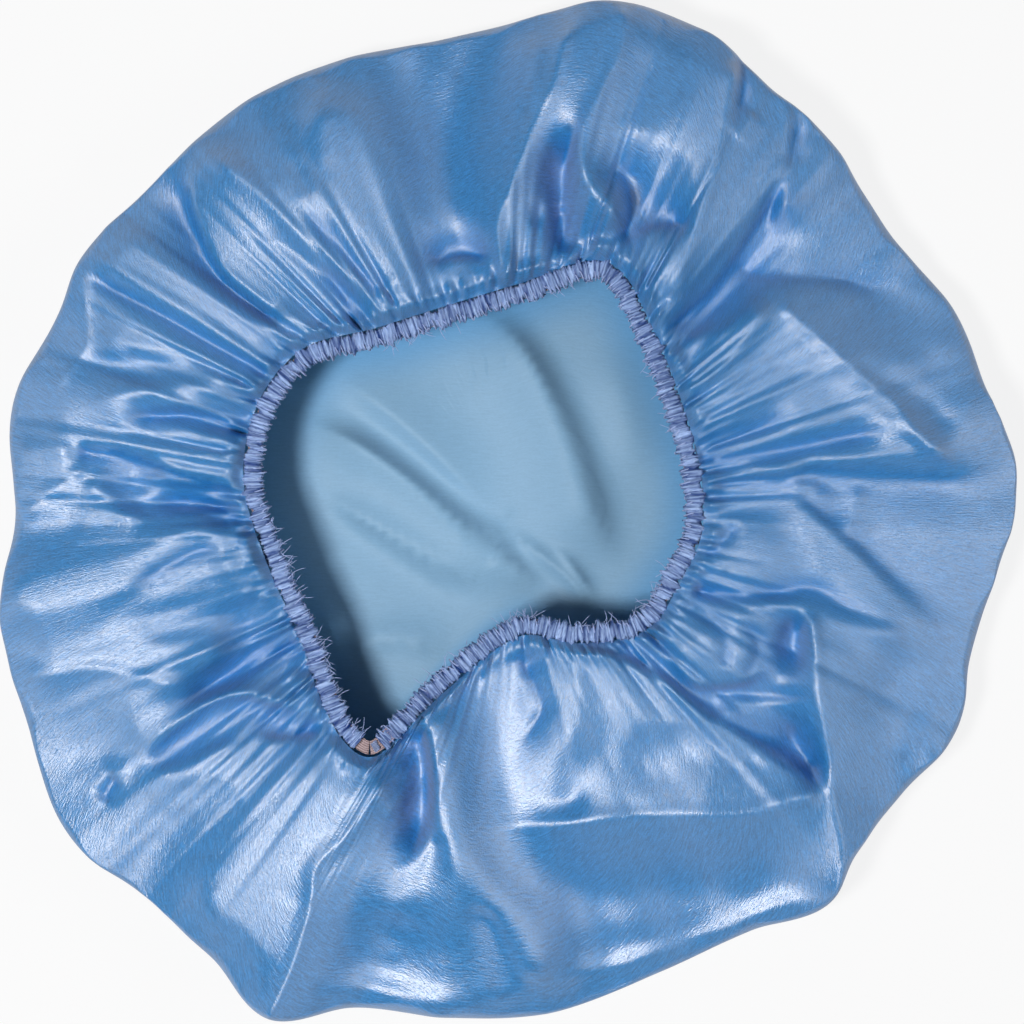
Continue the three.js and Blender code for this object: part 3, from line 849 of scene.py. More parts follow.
@dataclass
class SatinCap:
    """The satin as it lies: a flat crown, a rolled rim and a skirt gathered into the band."""

    line: BandLine
    scale: PhotoScale
    rim_radius: float = 165.5
    rim_height: float = 8.0
    rim_roll: float = 12.0
    shoulder_inset: float = 3.0
    shoulder_height: float = 22.0
    inset_swing: float = 0.5
    inset_limits: Side = (0.5, 1.8)
    shoulder_sway: float = 2.0
    low_shoulders: tuple[LowShoulder, ...] = (
        LowShoulder(285, half=24, drop=11),
        LowShoulder(106, half=20, drop=4),
        LowShoulder(150, half=12, drop=3),
    )
    swell: float = 3.5
    fold_gain: float = 2.1
    fold_limit: float = 22.0
    smoothing: int = 1
    band_height: float = 34.0
    hem_offset: float = 2.9
    wall: float = 0.4
    gathers: tuple[Gather, ...] = (
        Gather(pitch=5.2, depth=0.2, reach=3.0, start=0.3),
        Gather(pitch=11.0, depth=2.7, reach=9.0, start=1.5),
        Gather(pitch=22.0, depth=3.0, reach=22.0, start=8.0),
    )
    gather_drift: float = 0.012
    gather_sway: float = 1.4
    gather_swing: float = 0.6
    gather_lead: float = -0.1
    reach_limits: Side = (0.35, 2.0)
    depth_limits: Side = (0.2, 1.8)
    smooth_spans: tuple[Side, ...] = ((103, 11), (193, 10), (242, 9), (262, 10), (287, 16), (352, 9))
    smooth_share: float = 0.8
    hem_share: float = 0.4
    hem_run: float = 4.0
    fading: Side = (40.0, 150.0)
    crown_edge: float = 0.25
    # Painted shade: the fold depths over which it deepens, and the share of the band's distance from the
    # middle over which the crown darkens into the painted shadow under the skirt
    hollow: Side = (2.0, 13.0)
    under: Side = (0.72, 1.02)
    lip_place: float = 3.0
    lip_height: float = 3.0
    lip_swing: float = 0.5
    lip_share: float = 0.6
    columns_per_segment: int = 40
    skirt_rows: int = 120
    rim_rows: int = 26
    crown_rows: int = 40
    flap_columns: int = 12
    still_share: float = 0.82
    held_share: float = 0.09
    flap_drop: float = 0.9
    flap_sink: float = 7.5
    flap_run: float = 9.0
    rim_shape: tuple[Side, ...] = (
        (0, 0.987), (6, 0.994), (13, 0.966), (24, 0.958), (36, 0.925), (42, 0.934), (50, 0.96),
        (60, 0.976), (66, 1.01), (78, 1.022), (90, 0.963), (99, 0.942), (110, 0.952), (122, 0.964),
        (140, 0.96), (150, 0.984), (156, 0.974), (168, 1.006), (180, 0.976), (192, 1.024), (204, 1.043),
        (216, 1.08), (228, 1.043), (236, 1.058), (244.5, 1.1), (252, 1.027), (262, 1.005), (274, 0.992),
        (288, 0.954), (300, 0.952), (309, 0.99), (315, 0.952), (324, 0.948), (334.5, 0.975), (342, 0.948),
        (352, 0.958),
    )
    columns: int = field(init=False)
    angle: Array = field(init=False)
    taut: TautCloth = field(init=False)
    outer: Array = field(init=False)
    normal: Array = field(init=False)
    flat_reach: Array = field(init=False)
    # Painted light and shade of every place: 0 in the painted shade of deep folds, creases and the crown
    # under the skirt, 1 clear of it
    lit_share: Array = field(init=False)

    def __post_init__(self) -> None:
        """Works out the whole surface once."""
        self.columns = SEGMENTS * self.columns_per_segment
        self.taut = TautCloth(self.scale)
        self.outer = self._surface()
        self.normal = self._normals(self.outer)
        steps = np.linalg.norm(np.diff(self.outer, axis=0), axis=2).mean(axis=1)
        self.flat_reach = np.concatenate([np.cumsum(steps[::-1])[::-1], [0.0]])

    def rim(self, angle: Array) -> Array:
        """Distance of the rim from the middle at each angle in radians: cubic curves through rim_shape."""
        degrees, share = np.array(self.rim_shape).T
        wide = np.concatenate([degrees - 360.0, degrees, degrees + 360.0])
        tall = np.tile(share, 3)
        slope = np.gradient(tall, wide)
        wanted = np.mod(np.degrees(angle), 360.0)
        k = np.searchsorted(wide, wanted, side="right") - 1
        span = wide[k + 1] - wide[k]
        t = (wanted - wide[k]) / span
        rise = tall[k] * (1 + 2 * t) * (1 - t) ** 2 + tall[k + 1] * t**2 * (3 - 2 * t)
        lean = span * (slope[k] * t * (1 - t) ** 2 - slope[k + 1] * t**2 * (1 - t))
        return self.rim_radius * (rise + lean)

    def _shoulder(self) -> tuple[Array, Array]:
        """How far the shoulder lies inside the rim, and its height, at each column."""
        around = self.angle / (2.0 * math.pi)
        uneven = 1.0 + self.inset_swing * wander(around, seed=21, waves=6, slowest=5)
        inset = self.shoulder_inset * np.clip(uneven, *self.inset_limits)
        height = self.shoulder_height + self.shoulder_sway * wander(around, seed=22, waves=5, slowest=4)
        for low in self.low_shoulders:
            away = turn_from(low.angle, np.degrees(self.angle)) / low.half
            height = height - low.drop * np.exp(-(away**2))
        return inset, height

    def _surface(self) -> Array:
        """The outer face as rows × columns × 3, from the hem over the rim to the middle of the crown.

        The skirt runs straight from the hem to the shoulder, seen from above, and its height is the mean
        line plus a swell of sin(π · share), the folds and the gathers. The rim is a quarter ellipse above
        its widest line and another below it, and the crown lies on the table with soft folds.

        Returns:
            Places in millimetres.
        """
        length = np.arange(self.columns) / self.columns * self.line.length
        point, _, out = self.line.stations(length)
        hem = point + self.hem_offset * out
        middle = np.array(self.line.shift)
        self.angle = np.arctan2(*(point - middle).T[::-1])
        ray = np.column_stack([np.cos(self.angle), np.sin(self.angle)])
        rim = self.rim(self.angle)[:, None]
        inset_above, shoulder_height = self._shoulder()
        shoulder = middle + (rim - inset_above[:, None]) * ray
        share = np.linspace(1.0, 0.0, self.skirt_rows)[:, None]
        flat = share[..., None] * hem + (1.0 - share[..., None]) * shoulder
        base = share * self.band_height + (1.0 - share) * shoulder_height
        base = base + self.swell * np.sin(math.pi * share)
        from_hem = (1.0 - share) * np.linalg.norm(shoulder - hem, axis=1)
        grown = self.hem_share + (1.0 - self.hem_share) * smooth_step(0.0, self.hem_run, from_hem)
        folds = self._folds(flat) * grown
        turn = length / self.line.length
        fine, bunch = self._gathers(turn, from_hem)
        bunched = self.lip_share + (1.0 - self.lip_share) * bunch
        lip = np.exp(-(((from_hem - self.lip_place) / self.lip_place) ** 2)) * bunched
        uneven = 1.0 + self.lip_swing * wander(turn, seed=14, waves=6, slowest=17)
        fine = fine + self.lip_height * uneven * lip
        skirt = np.dstack([flat, base + folds + fine])
        rolled = np.radians(np.linspace(180.0, 0.0, self.rim_rows + 1)[1:])[:, None]
        above = rolled > math.pi / 2.0
        inset = np.where(above, inset_above, self.rim_roll)
        rise = np.where(above, shoulder_height - self.rim_height, self.rim_height)
        place = middle + (rim[:, 0] - inset * (1.0 - np.sin(rolled)))[..., None] * ray
        fading = smooth_step(*(math.radians(degrees) for degrees in self.fading), rolled)
        lift = self._folds(place) * fading
        side = np.dstack([place, self.rim_height - rise * np.cos(rolled) + lift])
        inward = np.linspace(1.0, 0.0, self.crown_rows + 1)[1:, None, None]
        floor = middle + inward * (place[-1] - middle)
        soft = self._crown_folds(floor) * smooth_step(0.0, self.crown_edge, 1.0 - inward[..., 0])
        crown = np.dstack([floor, soft])
        far = np.linalg.norm(floor - middle, axis=2) / np.linalg.norm(point - middle, axis=1)
        # Painted shade: darker in the deep folds and creases of the skirt and rim, and painted shadow on
        # the crown under the skirt and band
        sunk = [
            np.maximum(smooth_step(*self.hollow, -folds - fine), self._crease_shade(flat)),
            np.maximum(smooth_step(*self.hollow, -lift), self._crease_shade(place) * fading),
            smooth_step(*self.under, far),
        ]
        self.lit_share = 1.0 - np.vstack(sunk)
        return np.vstack([skirt, side, crown])

    def _gathers(self, turn: Array, from_hem: Array) -> tuple[Array, Array]:
        """Gathers that run out from the band, each size further: round tops with sharp creases between.

        A size is depth · (2 · |cos(π · count · turn + wander)| − 1) · exp(−distance / reach), with a reach
        and a depth that wander along the band, and less of it where the cloth leaves the band smooth.

        Args:
            turn: share of the band's length at each column.
            from_hem: distance from the hem, rows × columns.

        Returns:
            Height in millimetres, rows × columns, and the wave of the middle size at each column.
        """
        degrees = np.degrees(self.angle)
        smooth = np.ones(len(turn))
        for middle, half in self.smooth_spans:
            smooth = smooth - self.smooth_share * np.exp(-((turn_from(middle, degrees) / half) ** 4))
        height = np.zeros(from_hem.shape)
        waves = []
        for size, gather in enumerate(self.gathers):
            count = round(self.line.length / gather.pitch)
            drift = from_hem * self.gather_drift * wander(turn, seed=60 + size, waves=5, slowest=9)
            sway = self.gather_sway * wander(turn, seed=40 + size, waves=5, slowest=7)
            wave = 2.0 * np.abs(np.cos(math.pi * count * turn + sway + drift)) - 1.0
            longer = 1.0 + self.gather_swing * wander(turn, seed=50 + size, waves=6, slowest=11)
            reach = gather.reach * np.clip(longer, *self.reach_limits)
            deeper = 1.0 + self.gather_swing * wander(turn, seed=70 + size, waves=6, slowest=13)
            depth = gather.depth * np.clip(deeper, *self.depth_limits) * smooth
            grown = smooth_step(self.gather_lead, gather.start, from_hem)
            height = height + depth * np.exp(-from_hem / reach) * grown * wave
            waves.append(wave[0])
        return height, waves[1]

    def _folds(self, place: Array) -> Array:
        """Sum of the skirt's folds at a grid of places."""
        flat = place.reshape(-1, 2)
        narrow = [fold for fold in SKIRT_FOLDS if isinstance(fold, Puff) or not fold.broad]
        narrow += [fold.crest() for fold in SKIRT_FOLDS if isinstance(fold, Fold) and fold.crested]
        lift = self.taut.at(flat) * self.fold_gain + sum(fold.lift(flat, self.scale) for fold in narrow)
        lift = lift.reshape(place.shape[:2])
        for _ in range(self.smoothing):
            lift = (np.roll(lift, 1, axis=1) + 2.0 * lift + np.roll(lift, -1, axis=1)) / 4.0
            lift[1:-1] = (lift[:-2] + 2.0 * lift[1:-1] + lift[2:]) / 4.0
        return self.fold_limit * np.tanh(lift / self.fold_limit)

    def _crease_shade(self, place: Array) -> Array:
        """Painted shade of the skirt's creases at a grid of places, from 0 to 1."""
        flat = place.reshape(-1, 2)
        folds = [fold for fold in SKIRT_FOLDS if isinstance(fold, Fold)]
        sunk = [fold for fold in folds if min(fold.left[0], fold.right[0]) < 0.0]
        return np.max([fold.shade(flat, self.scale) for fold in sunk], axis=0).reshape(place.shape[:2])

    def _crown_folds(self, place: Array) -> Array:
        """Sum of the crown's folds at a grid of places, never below the table."""
        flat = place.reshape(-1, 2)
        lift = sum(fold.lift(flat, self.scale) for fold in CROWN_FOLDS)
        return np.maximum(lift, 0.0).reshape(place.shape[:2])

    @staticmethod
    def _normals(surface: Array) -> Array:
        """Directions that the surface faces: the cross product of its steps along rows and columns."""
        down = np.gradient(surface, axis=0)
        around = np.roll(surface, -1, axis=1) - np.roll(surface, 1, axis=1)
        normal = np.cross(down, around)
        normal[-1] = (0.0, 0.0, -1.0)
        return normal / np.maximum(np.linalg.norm(normal, axis=2, keepdims=True), 1e-9)

    @property
    def split_row(self) -> int:
        """Row just below the widest line, where the gores meet the crown."""
        return self.skirt_rows + self.rim_rows // 2 + 1

    def flat_places(self, columns: Array, rows: slice) -> Array:
        """Places of grid vertices on the flat round cloth, in metres, as rows × columns × 2."""
        angle = self.angle[columns % self.columns]
        reach = self.flat_reach[rows] * MM
        ray = np.column_stack([np.cos(angle), np.sin(angle)])
        return np.multiply.outer(reach, ray)

    def gore_columns(self, number: int) -> Array:
        """Numbers of one gore's columns, flap included, which may run past a whole turn."""
        first = number * self.columns_per_segment
        return np.arange(first, first + self.columns_per_segment + self.flap_columns + 1)

    def _sheet(
        self,
        name: str,
        outer: Array,
        normal: Array,
        quads: Array,
        edge: Array,
        flat_place: Array,
        lit_share: Array,
        materials: list[Material],
    ) -> Piece:
        """A closed sheet: an outer face, the same face moved in by the wall, and a strip along the edge.

        Args:
            name: name of the piece.
            outer: (n, 3) places of the outer face.
            normal: direction that each place faces.
            quads: faces between the places.
            edge: numbers of the places along the open edge, the first one again at the end.
            flat_place: (n, 2) place of each on the flat cloth, in metres.
            lit_share: painted light and shade of each place, from 0 in painted shade to 1 clear of it.
            materials: the satin face and its reverse.

        Returns:
            The piece.
        """
        size = len(outer)
        strip = MeshWriter.bridge(edge, edge + size)
        return MeshWriter.write(
            name,
            vertices=np.vstack([outer, outer - self.wall * normal]),
            faces=np.vstack([quads, quads[:, ::-1] + size, strip]),
            materials=materials,
            kind=np.repeat([0, 1, 0], [len(quads), len(quads), len(strip)]),
            normals=np.vstack([normal, -normal]),
            flat_place=np.tile(flat_place, (2, 1)),
            rib=np.tile(lit_share, 2),
        )

    def crown(self, materials: list[Material]) -> Piece:
        """The crown and the lower half of the rim, closed in the middle by a ring of quads."""
        rows = slice(self.split_row, None)
        count, columns = self.outer[rows].shape[:2]
        pole = (count - 1) * columns
        ring = np.append(np.arange(columns), 0)
        last = pole - columns + ring
        lid = np.column_stack([last[:-1:2], np.full(columns // 2, pole), last[2::2], last[1::2]])
        quads = np.vstack([MeshWriter.quads(count - 1, columns, True), lid])
        outer, normal = (grid[rows].reshape(-1, 3)[: pole + 1] for grid in (self.outer, self.normal))
        flat = self.flat_places(np.arange(columns), rows).reshape(-1, 2)[: pole + 1]
        lit_share = self.lit_share[rows].ravel()[: pole + 1]
        return self._sheet("satin_crown", outer, normal, quads, ring, flat, lit_share, materials)

    def gore(self, number: int, materials: list[Material]) -> Piece:
        """One length of the skirt, from its length of band to the rim, with a flap under the next length.

        Args:
            number: length of band, from 0.
            materials: the satin face and its reverse.

        Returns:
            A closed two-faced sheet.
        """
        columns = self.gore_columns(number)
        pick = columns % self.columns
        rows = slice(0, self.split_row + 1)
        outer, normal = self.outer[rows][:, pick], self.normal[rows][:, pick]
        under = columns > columns[0] + self.columns_per_segment
        outer = outer - normal * (self.flap_drop * under)[None, :, None]
        from_hem = self.flat_reach[0] - self.flat_reach[rows]
        outer[..., 2] -= np.multiply.outer(self.flap_sink * np.exp(-from_hem / self.flap_run), under)
        grid = np.arange(under.size * len(from_hem)).reshape(-1, under.size)
        edge = np.concatenate([grid[0, :-1], grid[:-1, -1], grid[-1, :0:-1], grid[::-1, 0]])
        quads = MeshWriter.quads(*grid.shape, False)
        flat = self.flat_places(columns, rows).reshape(-1, 2)
        lit_share = self.lit_share[rows][:, pick].ravel()
        name = f"satin_gore_{number + 1:02d}"
        outer, normal = outer.reshape(-1, 3), normal.reshape(-1, 3)
        return self._sheet(name, outer, normal, quads, edge, flat, lit_share, materials)

    def build(self, materials: list[Material]) -> None:
        """Makes the crown and the gores, each with its places on the flat cloth, and lets the crown ride on
        the cap.
        """
        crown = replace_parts(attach(self.crown(materials), "cap"), "satin_cap")
        for number in range(SEGMENTS):
            gore = self.gore(number, materials)
            first = number * self.columns_per_segment
            own = slice(first, first + self.columns_per_segment)
            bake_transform(gore)
            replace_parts(gore, "satin_cap")
            rows = slice(0, self.split_row + 1)


def arithmetic(tree: bpy.types.NodeTree, operation: str, *values: Socket | float) -> Socket:
    """Adds a math node.

    Args:
        tree: nodes that it joins.
        operation: Blender's name of what it does.
        *values: outputs of other nodes or plain numbers.

    Returns:
        Its result.
    """
    node = tree.nodes.new("ShaderNodeMath")
    node.operation = operation
    for value, target in zip(values, node.inputs):
        if isinstance(value, float):
            target.default_value = value
        else:
            tree.links.new(value, target)
    return node.outputs[0]


class Finish:
    """A material made of nodes, with short ways to add and join them."""

    def __init__(self, name: str) -> None:
        """Starts an empty material with a Principled shader.

        Args:
            name: name of the material.
        """
        self.material = bpy.data.materials.new(name)
        self.material.use_nodes = True
        self.tree = self.material.node_tree
        self.tree.nodes.clear()
        self.output = self.tree.nodes.new("ShaderNodeOutputMaterial")
        self.shader = self.tree.nodes.new("ShaderNodeBsdfPrincipled")
        self.join(self.shader.outputs[0], self.output.inputs["Surface"])

    def node(self, kind: str, **values: float | Colour) -> bpy.types.Node:
        """A new node with values set on its inputs, spaces in their names written as _.

        Args:
            kind: Blender's name of the node type.
            **values: value of each input.

        Returns:
            The node.
        """
        node = self.tree.nodes.new(kind)
        for key, value in values.items():
            node.inputs[key.replace("_", " ")].default_value = value
        return node

    def join(self, source: Socket, target: Socket) -> None:
        """Links an output to an input."""
        self.tree.links.new(source, target)

    def feed(self, source: Socket, name: str) -> None:
        """Links an output to one of the shader's own inputs."""
        self.join(source, self.shader.inputs[name])

    def shade(self, **values: float | Colour) -> None:
        """Sets values on the shader's own sockets, spaces in their names written as _."""
        for key, value in values.items():
            self.shader.inputs[key.replace("_", " ")].default_value = value

    def rib(self) -> Socket:
        """Painted light and shade of a place, by the mesh attribute: 0 in painted shade, 1 clear of it."""
        node = self.node("ShaderNodeAttribute")
        node.attribute_name = SHADE_ATTRIBUTE
        return node.outputs["Fac"]

    def tint(self, low: Colour, high: Colour) -> Socket:
        """The colour from low in painted shade to high clear of it, by the mesh attribute."""
        mix = self.node("ShaderNodeMixRGB", Color1=low, Color2=high)
        self.join(self.rib(), mix.inputs["Fac"])
        return mix.outputs[0]

    def weave(self, place: Socket) -> Socket:
        """Height of the weave at a place."""
        node = self.node("ShaderNodeGroup")
        node.node_tree = weave_grain()
        self.join(place, node.inputs["Place"])
        return node.outputs["Height"]

    def bump(self, height: Socket, depth: float) -> None:
        """Presses a height into the surface, a depth in metres."""
        node = self.node("ShaderNodeBump", Strength=1.0, Distance=depth)
        self.join(height, node.inputs["Height"])
        self.feed(node.outputs[0], "Normal")


def weave_grain() -> bpy.types.NodeTree:
    """Node group of the satin's weave: fine grain and long thread floats, as a height about 0.5.

    Returns:
        The group, made on its first use.
    """
    name = "weave_grain"
    if name in bpy.data.node_groups:
        return bpy.data.node_groups[name]
    tree = bpy.data.node_groups.new(name, "ShaderNodeTree")
    tree.interface.new_socket("Place", in_out="INPUT", socket_type="NodeSocketVector")
    tree.interface.new_socket("Height", in_out="OUTPUT", socket_type="NodeSocketFloat")
    start, end = tree.nodes.new("NodeGroupInput"), tree.nodes.new("NodeGroupOutput")
    halves = []
    for scale, along in WEAVE_NOISES:
        size = tree.nodes.new("ShaderNodeMapping")
        size.inputs["Scale"].default_value = (along, 1.0, 1.0)
        tree.links.new(start.outputs["Place"], size.inputs["Vector"])
        noise = tree.nodes.new("ShaderNodeTexNoise")
        noise.inputs["Scale"].default_value = scale
        noise.inputs["Detail"].default_value = 1.0
        tree.links.new(size.outputs[0], noise.inputs["Vector"])
        halves.append(arithmetic(tree, "MULTIPLY", noise.outputs[0], 0.5))
    tree.links.new(arithmetic(tree, "ADD", *halves), end.inputs["Height"])
    return tree


@dataclass(frozen=True)
class SatinFinish:
    """Glossy face of the satin or its dull reverse, with painted shade in hollows: a deeper colour and a
    rougher gloss where the mesh attribute is low.

    The weave lightens and darkens the colour by the share fleck, over the range fleck_from of its height,
    and is pressed into the surface a depth of grain metres.
    """

    name: str
    colour: Colour
    # Colour of the painted shade in hollows, creases and under the band
    hollow: Colour
    roughness: float
    hollow_roughness: float
    anisotropic: float
    specular: float
    index: float
    fleck: float
    grain: float
    fleck_from: Side = (0.35, 0.65)
    gleam: Colour = (1.0, 0.94, 0.9, 1.0)

    def make(self) -> Material:
        """Builds the material."""
        finish = Finish(self.name)
        finish.shade(Anisotropic=self.anisotropic, Specular_IOR_Level=self.specular)
        finish.shade(Specular_Tint=self.gleam, IOR=self.index)
        dull = finish.node("ShaderNodeMapRange", To_Min=self.hollow_roughness, To_Max=self.roughness)
        finish.join(finish.rib(), dull.inputs["Value"])
        finish.feed(dull.outputs[0], "Roughness")
        place = finish.node("ShaderNodeUVMap")
        place.uv_map = CLOTH
        height = finish.weave(place.outputs[0])
        low, high = self.fleck_from
        tone = finish.node("ShaderNodeMapRange", From_Min=low, From_Max=high)
        tone.inputs["To Min"].default_value = 1.0 - self.fleck
        tone.inputs["To Max"].default_value = 1.0 + self.fleck
        finish.join(height, tone.inputs["Value"])
        colour = finish.node("ShaderNodeMixRGB", Fac=1.0)
        colour.blend_type = "MULTIPLY"
        finish.join(finish.tint(self.hollow, self.colour), colour.inputs["Color1"])
        finish.join(tone.outputs[0], colour.inputs["Color2"])
        finish.feed(colour.outputs[0], "Base Color")
        finish.bump(height, self.grain)
        if self.anisotropic:
            tangent = finish.node("ShaderNodeTangent")
            tangent.direction_type = "UV_MAP"
            tangent.uv_map = CLOTH
            finish.feed(tangent.outputs[0], "Tangent")
        return finish.material


@dataclass(frozen=True)
class RibFinish:
    """Dull finish of the hem, the elastic or the thread, with painted shade in the grooves between its
    ribs.
    """

    name: str
    top: Colour
    groove_shade: Colour
    roughness: float
    sheen: float
    grain: float
    specular: float = 0.25
    sheen_roughness: float = 0.4

    def make(self) -> Material:
        """Builds the material."""
        finish = Finish(self.name)
        finish.shade(Roughness=self.roughness, Specular_IOR_Level=self.specular)
        finish.shade(Sheen_Weight=self.sheen, Sheen_Roughness=self.sheen_roughness)
        finish.feed(finish.tint(self.groove_shade, self.top), "Base Color")
        place = finish.node("ShaderNodeTexCoord")
        finish.bump(finish.weave(place.outputs["Object"]), self.grain)
        return finish.material


SATIN_FACE = SatinFinish(
    name="satin_face",
    colour=(0.03, 0.205, 0.49, 1.0),
    # Painted shade in the deep folds and creases
    hollow=(0.0, 0.16, 0.46, 1.0),
    roughness=0.47,
    hollow_roughness=0.6,
    anisotropic=0.65,
    specular=1.0,
    index=1.9,
    fleck=0.3,
    grain=0.0002,
)
SATIN_REVERSE = SatinFinish(
    name="satin_reverse",
    colour=(0.20, 0.365, 0.535, 1.0),
    # Painted shadow on the crown under the skirt and band, and painted shade in its folds
    hollow=(0.10, 0.30, 0.56, 1.0),
    roughness=0.55,
    hollow_roughness=0.7,
    anisotropic=0.0,
    specular=0.3,
    index=1.5,
    fleck=0.05,
    grain=0.00006,
)
HEM = RibFinish(
    name="hem",
    top=(0.36, 0.50, 0.80, 1.0),
    # Painted shade in the grooves between the ribs and inside the channel
    groove_shade=(0.002, 0.03, 0.17, 1.0),
    roughness=0.45,
    sheen=0.0,
    grain=0.0002,
)
THREAD = RibFinish(
    name="thread",
    top=(0.32, 0.40, 0.66, 1.0),
    groove_shade=(0.20, 0.26, 0.45, 1.0),
    roughness=0.7,
    sheen=0.2,
    grain=0.0001,
)
ELASTIC = RibFinish(
    name="elastic",
    top=(0.42, 0.32, 0.33, 1.0),
    # Painted shade in the grooves between the ribs
    groove_shade=(0.16, 0.11, 0.12, 1.0),
    roughness=0.75,
    sheen=0.1,
    grain=0.0001,
)


@dataclass
class HemCasing:
    """The turned hem round the elastic, gathered into crosswise ribs."""

    line: BandLine
    cap: SatinCap
    half_width: float = 2.9
    half_height: float = 2.1
    corner: float = 0.7
    wall: float = 0.6
    rib_pitch: float = 2.0
    rib_depth: float = 0.9
    rib_slant: float = 1.7
    pucker_depth: float = 0.5
    sway: float = 0.6
    rise_share: float = 0.7
    pinch: float = 0.35
    join_opening: float = 8.0
    sleeve: float = 7.0
    sleeve_shrink: float = 0.5
    sleeve_step: float = 0.9
    section_points: int = 26
    step: float = 0.22
    rib_power: float = 0.8
    rib_middle: float = 0.6
    rib_sway: float = 4.0
    slant_sway: float = 5.0
    pucker_rate: float = 1.3
    pucker_twist: float = 3.0
    twist_sway: float = 4.0
    depth_middle: float = 0.8
    depth_swing: float = 0.5
    depth_limits: Side = (0.3, 1.6)
    # How the painted shade mixes ribs and puckers, its power, and the wandering level of the rib tops
    pucker_share: float = 0.3
    top_power: float = 1.5
    top_middle: float = 0.8
    top_swing: float = 0.25
    channel_drop: float = 0.4
    sleeve_flatness: float = 0.8
    sleeve_wall: float = 0.1

    def reach(self, number: int) -> tuple[float, float]:
        """Lengths from the join at which one length of casing starts and stops."""
        piece = self.line.length / SEGMENTS
        start = max(number * piece, self.join_opening / 2)
        return start, min((number + 1) * piece, self.line.length - self.join_opening / 2)

    def middle(self, length: Array) -> tuple[Array, Array]:
        """How far the casing's middle sways outward and upward at lengths from the join."""
        share = length / self.line.length
        outward = self.sway * wander(share, seed=33, waves=5, slowest=47)
        return outward, self.rise_share * self.sway * wander(share, seed=34, waves=5, slowest=41)

    def ribs(self, length: Array, turn: Array) -> tuple[Array, Array]:
        """Relief of the ribs: the wave |cos(phase / 2)| and a smaller one of puckers, slanted unevenly.

        Args:
            length: lengths from the join.
            turn: angles round the section.

        Returns:
            Height of the relief in millimetres, and how far each place stands up from 0 to 1.
        """
        column = (length / self.line.length)[:, None]
        count = round(self.line.length / self.rib_pitch)
        phase = 2.0 * math.pi * count * column
        phase = phase + self.rib_sway * wander(column, seed=3, waves=7, slowest=13)
        slant = turn + self.slant_sway * wander(column, seed=8, waves=5, slowest=9)
        phase = phase + self.rib_slant * np.sin(slant)
        rib = np.abs(np.cos(phase / 2.0)) ** self.rib_power
        twist = 2.0 * turn + self.twist_sway * wander(column, seed=31, waves=5, slowest=21)
        pucker = np.abs(np.cos(self.pucker_rate * phase + self.pucker_twist * np.sin(twist)))
        depth = self.depth_middle + self.depth_swing * wander(column, seed=9, waves=6, slowest=60)
        depth = np.clip(depth, *self.depth_limits)
        relief = self.rib_depth * depth * (rib - self.rib_middle)
        relief = relief + self.pucker_depth * (pucker - self.rib_middle)
        relief = relief + self.pinch * wander(column, seed=36, waves=5, slowest=19)
        # Painted shade: grooves between ribs and puckers darker, rib tops lighter
        lit_share = ((1.0 - self.pucker_share) * rib + self.pucker_share * pucker) ** self.top_power
        top = self.top_middle + self.top_swing * wander(column, seed=37, waves=5, slowest=60)
        return relief, np.clip(lit_share * top, 0.0, 1.0)

    def section(self, length: Array, turn: Array, wide: Array, tall: Array) -> Array:
        """Rounded sections square to the band: sides are cos and sin of the turn, each to the power corner.

        Args:
            length: lengths from the join.
            turn: angles round the section.
            wide: half widths, lengths × angles or one for each length.
            tall: half heights, in the same way.

        Returns:
            Places as lengths × angles × 3.
        """
        point, _, out = self.line.stations(length)
        across = np.sign(np.cos(turn)) * np.abs(np.cos(turn)) ** self.corner
        up = np.sign(np.sin(turn)) * np.abs(np.sin(turn)) ** self.corner
        aside, above = self.middle(length)
        place = point[:, None, :] + out[:, None, :] * (aside[:, None] + wide * across)[..., None]
        return np.dstack([place, self.cap.band_height + above[:, None] + tall * up])

    def tube(self, number: int, material: Material) -> Piece:
        """One length of casing: a rounded section carried along the band, ribbed by the gathers.

        Args:
            number: length of band, from 0.
            material: finish of the casing.

        Returns:
            A closed tube with a channel, and a narrower sleeve that reaches into the next length.
        """
        start, stop = self.reach(number)
        length = np.append(np.arange(start, stop, self.step), stop)
        narrow = np.zeros(len(length))
        if number < SEGMENTS - 1:
            inside = np.arange(stop, stop + self.sleeve, self.sleeve_step)
            length = np.concatenate([length, inside])
            narrow = np.concatenate([narrow, np.ones(len(inside))])
        narrow = narrow[:, None]
        turn = 2.0 * math.pi * np.arange(self.section_points) / self.section_points
        relief, rib = self.ribs(length, turn)
        relief = relief * (1.0 - narrow)
        shrink = self.sleeve_shrink * narrow
        wide = self.half_width + relief - shrink
        tall = self.half_height + relief - self.sleeve_flatness * shrink
        outer = self.section(length, turn, wide, tall)
        wall = self.wall + self.sleeve_wall * shrink
        tall = self.half_height - self.channel_drop - wall
        inner = self.section(length, turn, self.half_width - wall, tall)
        size = len(length) * self.section_points
        quads = MeshWriter.quads(len(length), self.section_points, True)
        near = np.append(np.arange(self.section_points), 0)
        far = near + size - self.section_points
        ends = [MeshWriter.bridge(near, near + size), MeshWriter.bridge(far + size, far)]
        faces = np.vstack([quads, quads[:, ::-1] + size, *ends])
        vertices = np.vstack([outer.reshape(-1, 3), inner.reshape(-1, 3)])
        # Painted shade: the grooves darker, and the channel inside all in painted shade
        lit_share = np.concatenate([rib.ravel(), np.zeros(size)])
        return MeshWriter.write(f"hem_{number + 1:02d}", vertices, faces, [material], rib=lit_share)

    def build(self, material: Material) -> None:
        """Makes every length and lets it ride on its length of band."""
        for number in range(SEGMENTS):
            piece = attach(self.tube(number, material), f"band_{number + 1:02d}")
            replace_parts(piece, f"hem_casing_{number + 1:02d}")
            LOG.info("%s", piece.name)


@dataclass(frozen=True)
class Fray:
    """A place on the hem where loose fibres stick out, at a pixel of the photograph."""

    pixel: tuple[float, float]
    fibres: int
    spread: float


